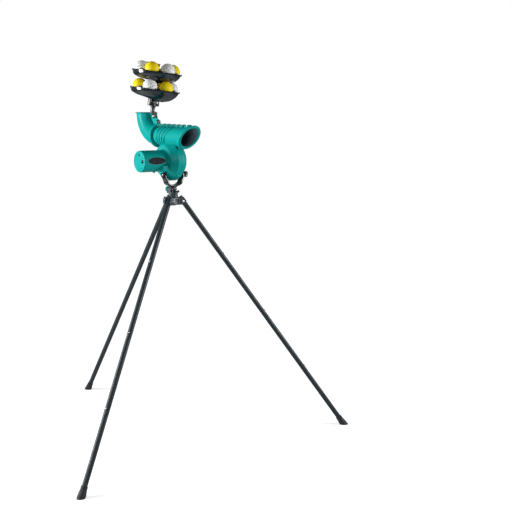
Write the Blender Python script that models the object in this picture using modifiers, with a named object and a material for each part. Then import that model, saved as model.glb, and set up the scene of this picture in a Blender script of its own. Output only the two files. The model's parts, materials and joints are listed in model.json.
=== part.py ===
"""Single-wheel cricket bowling machine on a folding tripod, with a two-tier ball carousel.

Metres, +Z up, balls leave along +X, the drive motor points along -Y (the machine's right side).
The origin is the middle of the footprint, on the ground.
"""

import math

import bmesh
import bpy
from mathutils import Matrix, Vector

# General fits
GAP = 0.0003            # running and seating clearance between neighbours
MERGE = 0.00001         # points closer than this are one
BALL_R = 0.036          # a cricket practice ball is 72 mm across
BODY_SIDES = 24         # facets round the barrel, motor case and other large round parts
PIPE_SIDES = 20

# Tripod
TUBE_R = 0.012
TUBE_WALL = 0.0015
TUBE_SIDES = 8
SECTIONS = 4            # plug-together sections in each leg
PIVOT_R = 0.045         # leg pivot, out from the tripod's axis
PIVOT_Z = 1.159
FOOT_R = 0.874          # where a leg's centre line meets the ground
LEG_TOP = 0.023         # how far a leg reaches above its pivot
SPIGOT = 0.055          # length of the reduced end that plugs into the section above
BUTTON_UP = 0.030       # snap button above its seam
BUTTON_R = 0.0035
BUTTON_PROUD = 0.0025
BOOT_LENGTH = 0.050
BOOT_TOP_R = 0.0150
BOOT_SOLE_R = 0.0200
BOOT_SOLE_THICK = 0.018
LEG_AZIMUTHS = {"rear_leg": 180.0, "left_leg": 60.0, "right_leg": -60.0}

# Tripod hub
CHEEK = 0.0065          # plate on each side of a leg
HUB_REACH = 0.062
HUB_DROP = 0.018        # hub's underside below the leg pivots
LUG_RISE = 0.0165       # lugs' top above them
HUB_RISE = 0.027        # neck's top above them
HUB_NECK_R = 0.0225
HUB_WEB = 0.0345        # web between two lugs, out from the axis
LUG_EDGE = 0.0150       # lugs' outer edge, square out from a leg's centre line
BOLT_R = 0.004
BOLT_HEAD_R = 0.0068
BOLT_HEAD = 0.0045
SPINDLE_R = 0.007
SPINDLE_HEAD_R = 0.012
SPINDLE_HEAD = 0.005

# Swivel base on the hub, and the roll pin that carries the fork
SWIVEL_R = 0.0225
SWIVEL_HEIGHT = 0.0135
EAR_R = 0.0115
FRONT_EAR = 0.006
REAR_EAR = 0.0315       # the rear ear is a long block
ROLL_UP = 0.0255        # roll pin above the hub's top
ROLL_PIN_R = 0.004
LOCK_KNOB_R = 0.0140
LOCK_KNOB = 0.0095
LEVER_BOSS_R = 0.0080
LEVER_BOSS = 0.0088
LEVER_THICK = 0.0070
LEVER_WING = 0.0110     # middle of the rounded wing, out from the pin
LEVER_WING_R = 0.0072
LEVER_TAIL = 0.0150
LEVER_TURN = math.radians(-30.0)

# Fork
STEM_HALF = 0.008
STEM_R = 0.0102
FORK_INNER_R = 0.0455
FORK_OUTER_R = 0.0565
FORK_BEND = 0.013       # where the arms start to bend, below the tilt pivot
FORK_INNER_DROP = 0.033
FORK_OUTER_DROP = 0.044
FORK_BULGE = 0.0180     # half depth along X at the bottom of the U
FORK_EYE_R = 0.0135
STUD_R = 0.0045
SIDE_BOSS_R = 0.0100
RIGHT_KNOB_R = 0.0122
RIGHT_KNOB = 0.0145
LEFT_KNOB_R = 0.0160
LEFT_KNOB = 0.0250

# Body shells: launching barrel over a wheel drum
WHEEL_X = -0.023
WHEEL_Z = PIVOT_Z + 0.191
TILT_Z = WHEEL_Z - 0.066
BARREL_Z = WHEEL_Z + 0.115
BARREL_BORE = BALL_R + 0.005
NECK_R = 0.0445
NECK_REAR = -0.126
GROOVE_END = -0.087
RIB_R = 0.0482
RIB_DIP = 0.0016
RIB_PITCH = 0.0225
RIB_COUNT = 4
PIPE_R = 0.0460
FLARE_START = 0.100
MUZZLE_X = 0.140
MUZZLE_R = 0.0570
MUZZLE_MOUTH_R = 0.0450
MUZZLE_TILT = math.radians(36.0)
DRUM_R = 0.096
DRUM_SIDES = 32
DRUM_RIM = 0.0170       # half width of the drum's rim
DRUM_SIDE_R = 0.072
DRUM_SIDE = 0.044       # half width over the drum's flat sides
DRUM_WALL = 0.003
RAIL_UP = 0.0520        # screw bosses above the barrel's axis
RAIL_HALF = 0.0040
BOSS_R = 0.0068
BOSS_HALF = 0.0100
TOP_BOSSES = (-0.072, -0.034, 0.006, 0.048, 0.090, 0.136)
UNDER_BOSS = 0.064
RIM_BOSS_ANGLE = math.radians(-45.0)
PAD_THICK = 0.003
PAD_HALF_LENGTH = 0.045
PAD_SPAN = 38.0         # degrees each side of the barrel's top

# Launch wheel and drive
TYRE_R = 0.086
TYRE_DISH = 0.0025
TYRE_HALF = 0.0180
TYRE_INNER_R = 0.0640
WHEEL_WEB = 0.004
WHEEL_WINDOWS = 5
WHEEL_BOSS_R = 0.016
WHEEL_BOSS_HALF = 0.0200
SHAFT_R = 0.006
BEARING_R = 0.0160      # moulded bearing seat in each shell
BEARING_IN = 0.0350
SHAFT_LEFT = 0.0410     # shaft's blind end, inside the left shell
CASE_R = 0.051
CASE_WALL = 0.004
CASE_END = 0.163
END_CAP = 0.012
CAP_POCKETS = ((0.0, 0.030, 0.0042), (0.0, -0.033, 0.0024), (0.022, -0.033, 0.0024))    # x, z, radius
MOTOR_R = 0.0400
MOTOR_LENGTH = 0.105
SOCKET_R = 0.0085
SOCKET_X = 0.028
TOGGLE_Y = 0.095
TOGGLE_R = 0.0022
TOGGLE_LENGTH = 0.016
BUSH_R = 0.0052         # threaded collar round the toggle
SWITCH_BOSS = 0.0025

# Feed elbow
BEND_START = -0.130     # where the elbow leaves the barrel's axis
BEND = 0.107            # its bend's radius, which is also the mouth's height over the barrel
ELBOW_X = BEND_START - BEND
ELBOW_TOP = BARREL_Z + BEND
ELBOW_R = 0.0470
ELBOW_LIP_R = 0.053
ELBOW_LIP = 0.003
COLLAR_R = 0.0580
COLLAR_BACK = -0.132
COLLAR_FRONT = -0.110
WEB_HALF = 0.004
CLAMP_X = -0.1170
CLAMP_UP = 0.0668
CLAMP_R = 0.0028
CLAMP_KNOB_R = 0.0080
CLAMP_KNOB = 0.0115

# Ball carousel
FEEDER_X = BEND_START - 0.026    # levelling bolt of the feeder's foot
FEEDER_Z = ELBOW_TOP - 0.014
FOOT_BOLT_R = 0.0035
FOOT_CHEEK = 0.006
FOOT_EYE_R = 0.0108
POST_R = 0.0105
SLOTS = 6
SLOT_R = 0.076          # circle on which the balls ride
SLOT_TURN = 8.0         # degrees from +X to the first ball
HOPPER_Z = ELBOW_TOP + 0.0865    # lower tray's floor at the carousel's axis
HOPPER_LEAN = math.radians(7.0)
HOPPER_LEAN_AZIMUTH = math.radians(55.0)
TIER = 0.084            # from one tray's floor to the next
TRAY_R = SLOT_R + 0.041
TRAY_WALL = 0.0028
TRAY_RIM = 0.0285       # rim above the floor
TRAY_DEPTH = 0.046      # underside below the rim, where it isn't leaning
TRAY_SHIFT = 0.024      # underside's middle, towards the high side
TRAY_RINGS = ((0.0002, -0.0010), (-0.0002, 0.0), (-0.0002, 0.0020), (0.0055, 0.0110), (0.0200, 0.0250),
              (0.0400, 0.0370), (0.0620, TRAY_DEPTH))       # narrower than the tray, below its rim
TRAY_SIDES = 28
TROUGH_R = BALL_R + 0.0023       # rounding between the ball track and the wall
DROP_HOLE_R = BALL_R + 0.0011
SHAFT2_R = 0.005
COLUMN_R = 0.0095
SLEEVE_R = 0.0130
COLUMN_FLANGE_R = 0.026
COLUMN_FLANGE = 0.003
GEARBOX_HALF = 0.0300
GEARBOX_R = 0.0165
GEARBOX_HEIGHT = 0.039
TRAY_PAD = 0.0130       # gearbox seat below the lower floor
ROTOR_HUB_R = 0.0300
ROTOR_SHOULDER = 0.0360 # rotor hubs are coned above this
ROTOR_TOP = 0.0425      # lower rotor's height
UPPER_ROTOR_TOP = 0.0440
ROTOR_ARM = 0.0026
ROTOR_REACH = SLOT_R + 0.030
CAP_R = 0.0118
CAP_TOP = 0.0670        # cap's top above the upper tray's floor

TRIPOD_X = FOOT_R / 4   # tripod's axis in front of the middle of the footprint
LEG_LEAN = math.atan2(FOOT_R - PIVOT_R, PIVOT_Z)
LEG_LENGTH = math.hypot(FOOT_R - PIVOT_R, PIVOT_Z)
SECTION_LENGTH = LEG_LENGTH / SECTIONS
HUB_BOTTOM = PIVOT_Z - HUB_DROP
HUB_TOP = PIVOT_Z + HUB_RISE
CORE_R = PIVOT_R - LEG_TOP * math.sin(LEG_LEAN) - TUBE_R * math.cos(LEG_LEAN) - GAP
ROLL_Z = HUB_TOP + ROLL_UP
STEM_FACE = STEM_HALF + GAP
BOSS_FACE = FORK_INNER_R - GAP
HOPPER_X = ELBOW_X + SLOT_R


def clear_scene():
    for obj in list(bpy.data.objects):
        bpy.data.objects.remove(obj, do_unlink=True)


def new_collection(name):
    collection = bpy.data.collections.new(name)
    bpy.context.scene.collection.children.link(collection)
    return collection


def new_material(name, colour, roughness, metallic=0.0):
    mat = bpy.data.materials.new(name)
    mat.use_nodes = True
    shader = mat.node_tree.nodes["Principled BSDF"]
    shader.inputs["Base Color"].default_value = (*colour, 1.0)
    shader.inputs["Roughness"].default_value = roughness
    shader.inputs["Metallic"].default_value = metallic
    return mat


clear_scene()
PARTS = new_collection("cricket_bowling_machine")
CUTTERS = new_collection("cutters")

GREEN = new_material("green_plastic", (0.012, 0.36, 0.29), 0.38)
BLACK = new_material("black_plastic", (0.012, 0.018, 0.024), 0.30)
SLATE = new_material("slate_enamel", (0.040, 0.062, 0.078), 0.35, 0.4)
CAST = new_material("grey_casting", (0.060, 0.085, 0.100), 0.45, 0.5)
STEEL = new_material("bright_steel", (0.62, 0.64, 0.66), 0.25, 1.0)
RUBBER = new_material("black_rubber", (0.015, 0.017, 0.020), 0.75)
URETHANE = new_material("wheel_urethane", (0.05, 0.05, 0.05), 0.6)
WHITE_BALL = new_material("white_ball", (0.86, 0.88, 0.86), 0.45)
YELLOW_BALL = new_material("yellow_ball", (0.90, 0.66, 0.02), 0.45)


def frame(name, location=(0, 0, 0), rotation=None, parent=None):
    """An empty that carries a sub-assembly; rotation is a 3x3 or 4x4 matrix."""
    empty = bpy.data.objects.new(name, None)
    PARTS.objects.link(empty)
    turn = rotation.to_4x4() if rotation else Matrix.Identity(4)
    empty.matrix_world = Matrix.Translation(location) @ turn
    if parent:
        empty.parent = parent
    return empty


def place(name, mesh, mat=None, parent=None, at=(0, 0, 0), axis=(0, 0, 1), spin=0.0):
    """Add a mesh to the model, or to the cutters when it has no material."""
    obj = bpy.data.objects.new(name, mesh)
    (PARTS if mat else CUTTERS).objects.link(obj)
    if mat:
        obj.data.materials.clear()
        obj.data.materials.append(mat)
    else:
        obj.hide_render = True
        obj.display_type = "WIRE"
    turn = Vector((0, 0, 1)).rotation_difference(Vector(axis)).to_matrix().to_4x4()
    obj.matrix_local = Matrix.Translation(at) @ turn @ Matrix.Rotation(spin, 4, "Z")
    obj.parent = parent
    return obj


def shaded(mesh, angle=35.0):
    mesh.shade_smooth()
    mesh.set_sharp_from_angle(angle=math.radians(angle))
    return mesh


def mesh_from(bm, name="shape"):
    mesh = bpy.data.meshes.new(name)
    bm.to_mesh(mesh)
    bm.free()
    return shaded(mesh)


def block(size, centre=(0, 0, 0)):
    bm = bmesh.new()
    bmesh.ops.create_cube(bm, size=1.0)
    bmesh.ops.scale(bm, verts=bm.verts, vec=Vector(size))
    bmesh.ops.translate(bm, verts=bm.verts, vec=Vector(centre))
    return mesh_from(bm)


def rod(radius, low, high, sides=16, top_radius=None):
    """A cylinder or cone along Z, from low to high."""
    bm = bmesh.new()
    bmesh.ops.create_cone(bm, cap_ends=True, segments=sides, radius1=radius,
                          radius2=radius if top_radius is None else top_radius, depth=high - low)
    bmesh.ops.translate(bm, verts=bm.verts, vec=(0, 0, (high + low) / 2))
    return mesh_from(bm)


def ball(radius, sides=10, rings=7):
    bm = bmesh.new()
    bmesh.ops.create_uvsphere(bm, u_segments=sides, v_segments=rings, radius=radius)
    return mesh_from(bm)


def baked(obj, flat_ends=False):
    """The evaluated mesh of an object that is then removed; flat ends lose their middle point."""
    graph = bpy.context.evaluated_depsgraph_get()
    graph.update()
    mesh = bpy.data.meshes.new_from_object(obj.evaluated_get(graph))
    bm = bmesh.new()
    bm.from_mesh(mesh)
    bmesh.ops.remove_doubles(bm, verts=bm.verts, dist=MERGE)
    if flat_ends:
        middles = [vert for vert in bm.verts if math.hypot(vert.co.x, vert.co.y) < MERGE]
        bmesh.ops.dissolve_verts(bm, verts=middles)
    bmesh.ops.recalc_face_normals(bm, faces=bm.faces)
    bm.to_mesh(mesh)
    bm.free()
    bpy.data.objects.remove(obj, do_unlink=True)
    return shaded(mesh)


def turned(profile, sides=24, ring=False):
    """Turn (radius, height) points about Z. A ring's profile is closed and off the axis."""
    mesh = bpy.data.meshes.new("profile")
    count = len(profile)
    edges = [(k, k + 1) for k in range(count - 1)]
    if ring:
        edges.append((count - 1, 0))
    mesh.from_pydata([(r, 0.0, z) for r, z in profile], edges, [])
    obj = bpy.data.objects.new("profile", mesh)
    CUTTERS.objects.link(obj)
    screw = obj.modifiers.new("turn", "SCREW")
    screw.steps = sides
    screw.render_steps = sides
    screw.use_merge_vertices = True
    screw.merge_threshold = MERGE
    return baked(obj, flat_ends=not ring)


def plate(outline, thickness, holes=()):
    """A flat outline in XY, thickened along Z about the plane; holes are further outlines."""
    curve = bpy.data.curves.new("outline", "CURVE")
    curve.dimensions = "2D"
    curve.fill_mode = "BOTH"
    curve.extrude = thickness / 2
    for loop in (outline, *holes):
        spline = curve.splines.new("POLY")
        spline.points.add(len(loop) - 1)
        for point, (x, y) in zip(spline.points, loop):
            point.co = (x, y, 0.0, 1.0)
        spline.use_cyclic_u = True
    obj = bpy.data.objects.new("outline", curve)
    CUTTERS.objects.link(obj)
    return baked(obj)


def swept(path, radius, sides=PIPE_SIDES):
    """A round solid along a path of (x, z) points."""
    curve = bpy.data.curves.new("path", "CURVE")
    curve.dimensions = "3D"
    curve.bevel_depth = radius
    curve.bevel_resolution = sides // 2 - 2
    curve.use_fill_caps = True
    spline = curve.splines.new("POLY")
    spline.points.add(len(path) - 1)
    for point, (x, z) in zip(spline.points, path):
        point.co = (x, 0.0, z, 1.0)
    obj = bpy.data.objects.new("path", curve)
    CUTTERS.objects.link(obj)
    return baked(obj)


def lofted(rings):
    """A solid through closed rings of points that all have the same count."""
    bm = bmesh.new()
    loops = [[bm.verts.new(point) for point in ring] for ring in rings]
    count = len(loops[0])
    for low, high in zip(loops, loops[1:]):
        for j in range(count):
            bm.faces.new((low[j], low[(j + 1) % count], high[(j + 1) % count], high[j]))
    bm.faces.new(list(reversed(loops[0])))
    bm.faces.new(loops[-1])
    bmesh.ops.recalc_face_normals(bm, faces=bm.faces)
    return mesh_from(bm)


def arc(centre, radius, start, end, steps):
    """Points on an arc, angles in degrees."""
    cx, cy = centre
    points = []
    for k in range(steps + 1):
        angle = math.radians(start + (end - start) * k / steps)
        points.append((cx + radius * math.cos(angle), cy + radius * math.sin(angle)))
    return points


def circle(radius, sides=12, centre=(0.0, 0.0)):
    return arc(centre, radius, 0.0, 360.0 - 360.0 / sides, sides - 1)


def bore(radius, sides):
    """Radius of a hole of so many sides in which a round part turns freely."""
    return (radius + GAP) / math.cos(math.pi / sides)


def combine(obj, tool, operation="DIFFERENCE"):
    modifier = obj.modifiers.new(tool.name, "BOOLEAN")
    modifier.operation = operation
    modifier.solver = "EXACT"
    modifier.object = tool


def cut(obj, mesh, *where, operation="DIFFERENCE", **spin):
    """Cut a shape out of an object; the shape is placed as place() does, parent first."""
    tool = place(f"{obj.name}_tool_{len(obj.modifiers) + 1}", mesh, None, *where, **spin)
    combine(obj, tool, operation)


def join(obj, mesh, *where, **spin):
    cut(obj, mesh, *where, operation="UNION", **spin)


def bevel(obj, width, segments=1, angle=40.0):
    modifier = obj.modifiers.new("edges", "BEVEL")
    modifier.width = width
    modifier.segments = segments
    modifier.limit_method = "ANGLE"
    modifier.angle_limit = math.radians(angle)
    return obj


def lobed(radius, depth, lobes, per_lobe=3):
    """Outline of a hand knob with rounded grips."""
    count = lobes * per_lobe
    points = []
    for k in range(count):
        angle = 2 * math.pi * k / count
        wave = radius - depth * (1 - math.cos(lobes * angle)) / 2
        points.append((wave * math.cos(angle), wave * math.sin(angle)))
    return points


ALONG_X = Matrix.Rotation(math.pi / 2, 4, "Z") @ Matrix.Rotation(math.pi / 2, 4, "X")
ALONG_Y = Matrix.Rotation(math.pi / 2, 4, "X")


def plate_across_x(outline, thickness, holes=()):
    """A plate from (y, z) points, thickened along X."""
    mesh = plate(outline, thickness, holes)
    mesh.transform(ALONG_X)
    return mesh


def plate_across_y(outline, thickness, holes=()):
    """A plate from (x, z) points, thickened along Y."""
    mesh = plate(outline, thickness, holes)
    mesh.transform(ALONG_Y)
    return mesh


TRIPOD = frame("tripod_axis", (TRIPOD_X, 0, 0))


def leg_frame(name, azimuth):
    """Origin on the leg's pivot, -Z down the leg, +X outward and up, Y along the pivot bolt."""
    out = Vector((math.cos(azimuth), math.sin(azimuth), 0.0))
    along = (Vector((0, 0, PIVOT_Z)) - out * (FOOT_R - PIVOT_R)).normalized()
    side = Vector((0, 0, 1)).cross(out)
    face = side.cross(along)
    turn = Matrix((face, side, along)).transposed()
    return frame(name + "_pivot", out * PIVOT_R + Vector((0, 0, PIVOT_Z)), turn, TRIPOD)


def make_leg(name, azimuth, ground):
    """Four plug-together tubes; each lower one has a reduced end, with a snap button, in the one above."""
    pivot = leg_frame(name, azimuth)
    inner_r = TUBE_R - TUBE_WALL
    spigot_r = inner_r - GAP / math.cos(math.pi / TUBE_SIDES)
    spigot_in = spigot_r - TUBE_WALL
    tube_end = BOOT_SOLE_THICK - LEG_LENGTH
    for k in range(SECTIONS):
        top = LEG_TOP if k == 0 else -SECTION_LENGTH * k - GAP
        bottom = tube_end if k == SECTIONS - 1 else -SECTION_LENGTH * (k + 1)
        if k == 0:
            profile = [(TUBE_R, top), (TUBE_R, bottom), (inner_r, bottom), (inner_r, top)]
        else:
            profile = [(spigot_r, top + SPIGOT), (spigot_r, top), (TUBE_R, top), (TUBE_R, bottom),
                       (inner_r, bottom), (inner_r, top - TUBE_WALL), (spigot_in, top),
                       (spigot_in, top + SPIGOT)]
        tube = place(f"{name}_section_{k + 1}", turned(profile, TUBE_SIDES, ring=True), SLATE, pivot)
        if k > 0:
            height = BUTTON_UP - SECTION_LENGTH * k
            button = rod(BUTTON_R, spigot_in + 0.0005, TUBE_R + BUTTON_PROUD, 8)
            join(tube, button, pivot, (0, 0, height), (1, 0, 0))
        if k < SECTIONS - 1:
            height = BUTTON_UP - SECTION_LENGTH * (k + 1)
            hole = rod(bore(BUTTON_R, 8), 0.0, TUBE_R * 1.5, 8)
            cut(tube, hole, pivot, (0, 0, height), (1, 0, 0))
        if k == 0:
            hole = rod(bore(BOLT_R, 10), -TUBE_R * 1.5, TUBE_R * 1.5, 10)
            cut(tube, hole, pivot, (0, 0, 0), (0, 1, 0))
    make_boot(name, pivot, tube_end, ground)


def make_boot(name, pivot, tube_end, ground):
    """Flared rubber boot, cut level with the ground."""
    top = tube_end + BOOT_LENGTH - BOOT_SOLE_THICK
    socket_r = bore(TUBE_R, TUBE_SIDES)
    flare = (BOOT_SOLE_R - BOOT_TOP_R) / 3
    bottom = -LEG_LENGTH - BOOT_SOLE_R
    profile = [(0.0, tube_end - GAP), (socket_r, tube_end - GAP), (socket_r, top),
               (BOOT_TOP_R - 0.001, top), (BOOT_TOP_R, top - 0.002),
               (BOOT_TOP_R + flare * 0.6, (top + tube_end) / 2), (BOOT_TOP_R + flare * 2, tube_end),
               (BOOT_SOLE_R, -LEG_LENGTH), (BOOT_SOLE_R, bottom), (0.0, bottom)]
    boot = place(name + "_boot", turned(list(reversed(profile)), TUBE_SIDES), RUBBER, pivot)
    combine(boot, ground)


def make_hub():
    """Casting with a neck on top and three slotted lugs that hold the legs."""
    half = TUBE_R + GAP + CHEEK
    waist = (HUB_WEB - half * math.sin(math.radians(60))) / math.cos(math.radians(60))
    corners = []
    for azimuth in sorted(LEG_AZIMUTHS.values()):
        turn = Matrix.Rotation(math.radians(azimuth), 2)
        for x, y in ((waist, -half), (HUB_REACH, -half), (HUB_REACH, half), (waist, half)):
            corners.append(turn @ Vector((x, y)))
    lug_top = PIVOT_Z + LUG_RISE
    middle = (lug_top + HUB_BOTTOM) / 2
    hub = place("tripod_hub", plate(corners, lug_top - HUB_BOTTOM), CAST, TRIPOD, (0, 0, middle))
    tall = (HUB_TOP - HUB_BOTTOM) * 2
    for name, azimuth in LEG_AZIMUTHS.items():
        turn = math.radians(azimuth)
        pivot = bpy.data.objects[name + "_pivot"]
        edge = block((0.06, 0.06, 0.20), (LUG_EDGE + 0.03, 0, 0))
        cut(hub, edge, pivot)
        slot_length = HUB_REACH - CORE_R + 0.02
        slot = block((slot_length, 2 * (TUBE_R + GAP), tall), (CORE_R + slot_length / 2, 0, PIVOT_Z))
        cut(hub, slot, TRIPOD, spin=turn)
        hole = rod(bore(BOLT_R, 10), -half * 1.2, half * 1.2, 10)
        cut(hub, hole, pivot, (0, 0, 0), (0, 1, 0))
        out = Vector((math.cos(turn), math.sin(turn), 0))
        recess = block((0.012, 0.016, 0.018))
        cut(hub, recess, TRIPOD, Vector((0, 0, PIVOT_Z)) - out * (HUB_WEB + 0.003), spin=turn)
    neck = [(0.0, HUB_TOP), (HUB_NECK_R - 0.001, HUB_TOP), (HUB_NECK_R, HUB_TOP - 0.001),
            (HUB_NECK_R, lug_top - 0.001), (0.0, lug_top - 0.001)]
    join(hub, turned(neck, 20), TRIPOD)
    hole = rod(bore(SPINDLE_R, 16), HUB_BOTTOM - 0.01, HUB_TOP + 0.01, 16)
    cut(hub, hole, TRIPOD)


def make_leg_bolts():
    """One bolt with its nut at each leg pivot."""
    half = TUBE_R + GAP + CHEEK
    face = half + GAP
    end = half + BOLT_HEAD
    shape = [(0.0, end), (BOLT_HEAD_R * 0.8, end), (BOLT_HEAD_R, end - BOLT_HEAD * 0.3), (BOLT_HEAD_R, face),
             (BOLT_R, face), (BOLT_R, -face), (BOLT_HEAD_R, -face), (BOLT_HEAD_R, -end), (0.0, -end)]
    for name in LEG_AZIMUTHS:
        pivot = bpy.data.objects[name + "_pivot"]
        place(name + "_bolt", turned(shape, 10), STEEL, pivot, (0, 0, 0), (0, -1, 0))


def make_spindle():
    """Headed bolt up through the hub; the swivel base turns on its end."""
    top = HUB_TOP + SWIVEL_HEIGHT - 0.002
    shape = [(0.0, top), (SPINDLE_R - 0.001, top), (SPINDLE_R, top - 0.001), (SPINDLE_R, HUB_BOTTOM - GAP),
             (SPINDLE_HEAD_R, HUB_BOTTOM - GAP), (SPINDLE_HEAD_R, HUB_BOTTOM - SPINDLE_HEAD),
             (0.0, HUB_BOTTOM - SPINDLE_HEAD)]
    place("pan_spindle", turned(shape, 16), STEEL, TRIPOD)


def make_swivel():
    """Turntable on the hub with a front and a rear ear for the roll pin."""
    low = HUB_TOP + GAP
    high = low + SWIVEL_HEIGHT
    shape = [(0.0, high), (SWIVEL_R - 0.0012, high), (SWIVEL_R, high - 0.0012), (SWIVEL_R, low + 0.006),
             (SWIVEL_R - 0.0015, low + 0.0052), (SWIVEL_R - 0.0015, low + 0.0038), (SWIVEL_R, low + 0.003),
             (SWIVEL_R, low), (0.0, low)]
    base = place("swivel_base", turned(shape, 20), CAST, TRIPOD)
    rear = -STEM_FACE - REAR_EAR
    ear_shape = arc((0, ROLL_Z), EAR_R, 0, 180, 10)
    for thick, near, foot in ((FRONT_EAR, STEM_FACE, high - 0.004), (REAR_EAR, rear, low + 0.0065)):
        outline = ear_shape + [(-EAR_R, foot), (EAR_R, foot)]
        join(base, plate_across_x(outline, thick), TRIPOD, (near + thick / 2, 0, 0))
    pin_hole = rod(bore(ROLL_PIN_R, 12), -0.08, 0.05, 12)
    cut(base, pin_hole, TRIPOD, (0, 0, ROLL_Z), (1, 0, 0))
    hole = rod(bore(SPINDLE_R, 16), low - 0.01, HUB_TOP + SWIVEL_HEIGHT - 0.002 + GAP, 16)
    cut(base, hole, TRIPOD)


def make_roll_clamp():
    """Pin along the roll axis, its clamp lever in front and its green lock knob behind."""
    front = STEM_FACE + FRONT_EAR + GAP
    rear = STEM_FACE + REAR_EAR + GAP
    at = (0, 0, ROLL_Z)
    lever_top = front + LEVER_BOSS + LEVER_THICK
    pin_depth = rear + LOCK_KNOB * 0.7
    place("roll_pin", rod(ROLL_PIN_R, -pin_depth, lever_top - 0.001, 12), STEEL, TRIPOD, at, (1, 0, 0))
    knob_hole = bore(ROLL_PIN_R, 12)
    r = LOCK_KNOB_R
    end = rear + LOCK_KNOB
    knob = [(0.0, end), (r * 0.8, end), (r - 0.001, end - 0.0012), (r, end - 0.003), (r, rear + 0.0025),
            (r - 0.001, rear + 0.001), (r * 0.5, rear), (knob_hole, rear), (knob_hole, pin_depth + GAP),
            (0.0, pin_depth + GAP)]
    place("roll_lock_knob", turned(knob, 18), GREEN, TRIPOD, at, (-1, 0, 0))
    wing = (LEVER_WING, 0.0)
    outline = (arc((0, 0), LEVER_BOSS_R, 60, 165, 5) + [(-LEVER_TAIL, 0.0028), (-LEVER_TAIL, -0.0028)]
               + arc((0, 0), LEVER_BOSS_R, 195, 300, 5) + arc(wing, LEVER_WING_R, -70, 70, 7))
    wing_x = lever_top - LEVER_THICK / 2
    mesh = plate_across_x(outline, LEVER_THICK)
    mesh.transform(Matrix.Rotation(LEVER_TURN, 4, "X"))
    lever = place("roll_clamp_lever", mesh, BLACK, TRIPOD, (wing_x, 0, ROLL_Z))
    join(lever, rod(LEVER_BOSS_R - 0.001, front, front + LEVER_BOSS + 0.001, 16), TRIPOD, at, (1, 0, 0))
    hole = rod(bore(ROLL_PIN_R, 12), 0.0, 0.1, 12)
    cut(lever, hole, TRIPOD, at, (1, 0, 0))


def make_fork():
    """U-shaped yoke whose stem hangs on the roll pin; its arms end in eyes at the tilt pivot."""
    top = TILT_Z + FORK_EYE_R
    bend = TILT_Z - FORK_BEND
    deeper = FORK_INNER_DROP / FORK_INNER_R
    inner = [(y, bend + z * deeper) for y, z in arc((0, 0), FORK_INNER_R, 0, -180, 14)]
    deeper = FORK_OUTER_DROP / FORK_OUTER_R
    outer = [(y, bend + z * deeper) for y, z in arc((0, 0), FORK_OUTER_R, 180, 360, 14)]
    outline = [(FORK_OUTER_R, top), (FORK_INNER_R, top), *inner, (-FORK_INNER_R, top), (-FORK_OUTER_R, top), *outer]
    fork = place("yoke_fork", plate_across_x(outline, 3 * FORK_BULGE), BLACK, TRIPOD)
    low = bend - FORK_OUTER_DROP
    side = arc((0, TILT_Z), FORK_EYE_R, 0, 180, 10)
    side += [(-FORK_EYE_R, TILT_Z - 0.012), (-FORK_BULGE, low + 0.022), (-FORK_BULGE, low - 0.002),
             (FORK_BULGE, low - 0.002), (FORK_BULGE, low + 0.022), (FORK_EYE_R, TILT_Z - 0.012)]
    cut(fork, plate_across_y(side, 3 * FORK_OUTER_R), TRIPOD, operation="INTERSECT")
    stem_top = low + 0.005
    stem = arc((0, ROLL_Z), STEM_R, 180, 360, 10)
    stem += [(STEM_R + 0.005, stem_top), (-STEM_R - 0.005, stem_top)]
    join(fork, plate_across_x(stem, 2 * STEM_HALF), TRIPOD)
    hole = rod(bore(STUD_R, 12), -0.06, 0.06, 12)
    cut(fork, hole, TRIPOD, (0, 0, TILT_Z), (0, 1, 0))
    pin = rod(bore(ROLL_PIN_R, 12), -0.03, 0.03, 12)
    cut(fork, pin, TRIPOD, (0, 0, ROLL_Z), (1, 0, 0))


def make_tilt_clamps():
    """Hand knobs whose studs pass through the fork's eyes into the shells' side bosses."""
    low = FORK_OUTER_R + GAP
    inside = side_boss_inside() - 0.001
    for name, sign, radius, length, lobes in (("right_tilt_knob", -1, RIGHT_KNOB_R, RIGHT_KNOB, 6),
                                              ("left_tilt_knob", 1, LEFT_KNOB_R, LEFT_KNOB, 10)):
        knob = plate(lobed(radius, radius * 0.12, lobes), length)
        knob.transform(Matrix.Translation((0, 0, low + length / 2)))
        obj = place(name, knob, BLACK, TRIPOD, (0, 0, TILT_Z), (0, sign, 0))
        bevel(obj, 0.0012, 1, 60)
        stud = rod(STUD_R, inside, low + 0.002, 12)
        join(obj, stud, TRIPOD, (0, 0, TILT_Z), (0, sign, 0))


def side_boss_inside():
    """Inner face of the solid boss in each shell that a tilt stud passes through."""
    return DRUM_SIDE - 0.010


def muzzle_lean(x):
    """How far the barrel's ring at x leans forward: upright at the groove, fully over at the last rib."""
    last_rib = GROOVE_END + RIB_COUNT * RIB_PITCH
    share = (x - GROOVE_END) / (last_rib - GROOVE_END)
    return MUZZLE_TILT * min(max(share, 0.0), 1.0)


def barrel_solid(profile, sides=BODY_SIDES):
    """Turn (x, radius) points about the barrel's axis, then lean each ring by its place."""
    mesh = turned([(r, -x) for x, r in profile], sides)
    mesh.transform(Matrix.Rotation(-math.pi / 2, 4, "Y"))
    for vert in mesh.vertices:
        vert.co.x += vert.co.z * math.tan(muzzle_lean(vert.co.x))
    return mesh


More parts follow.
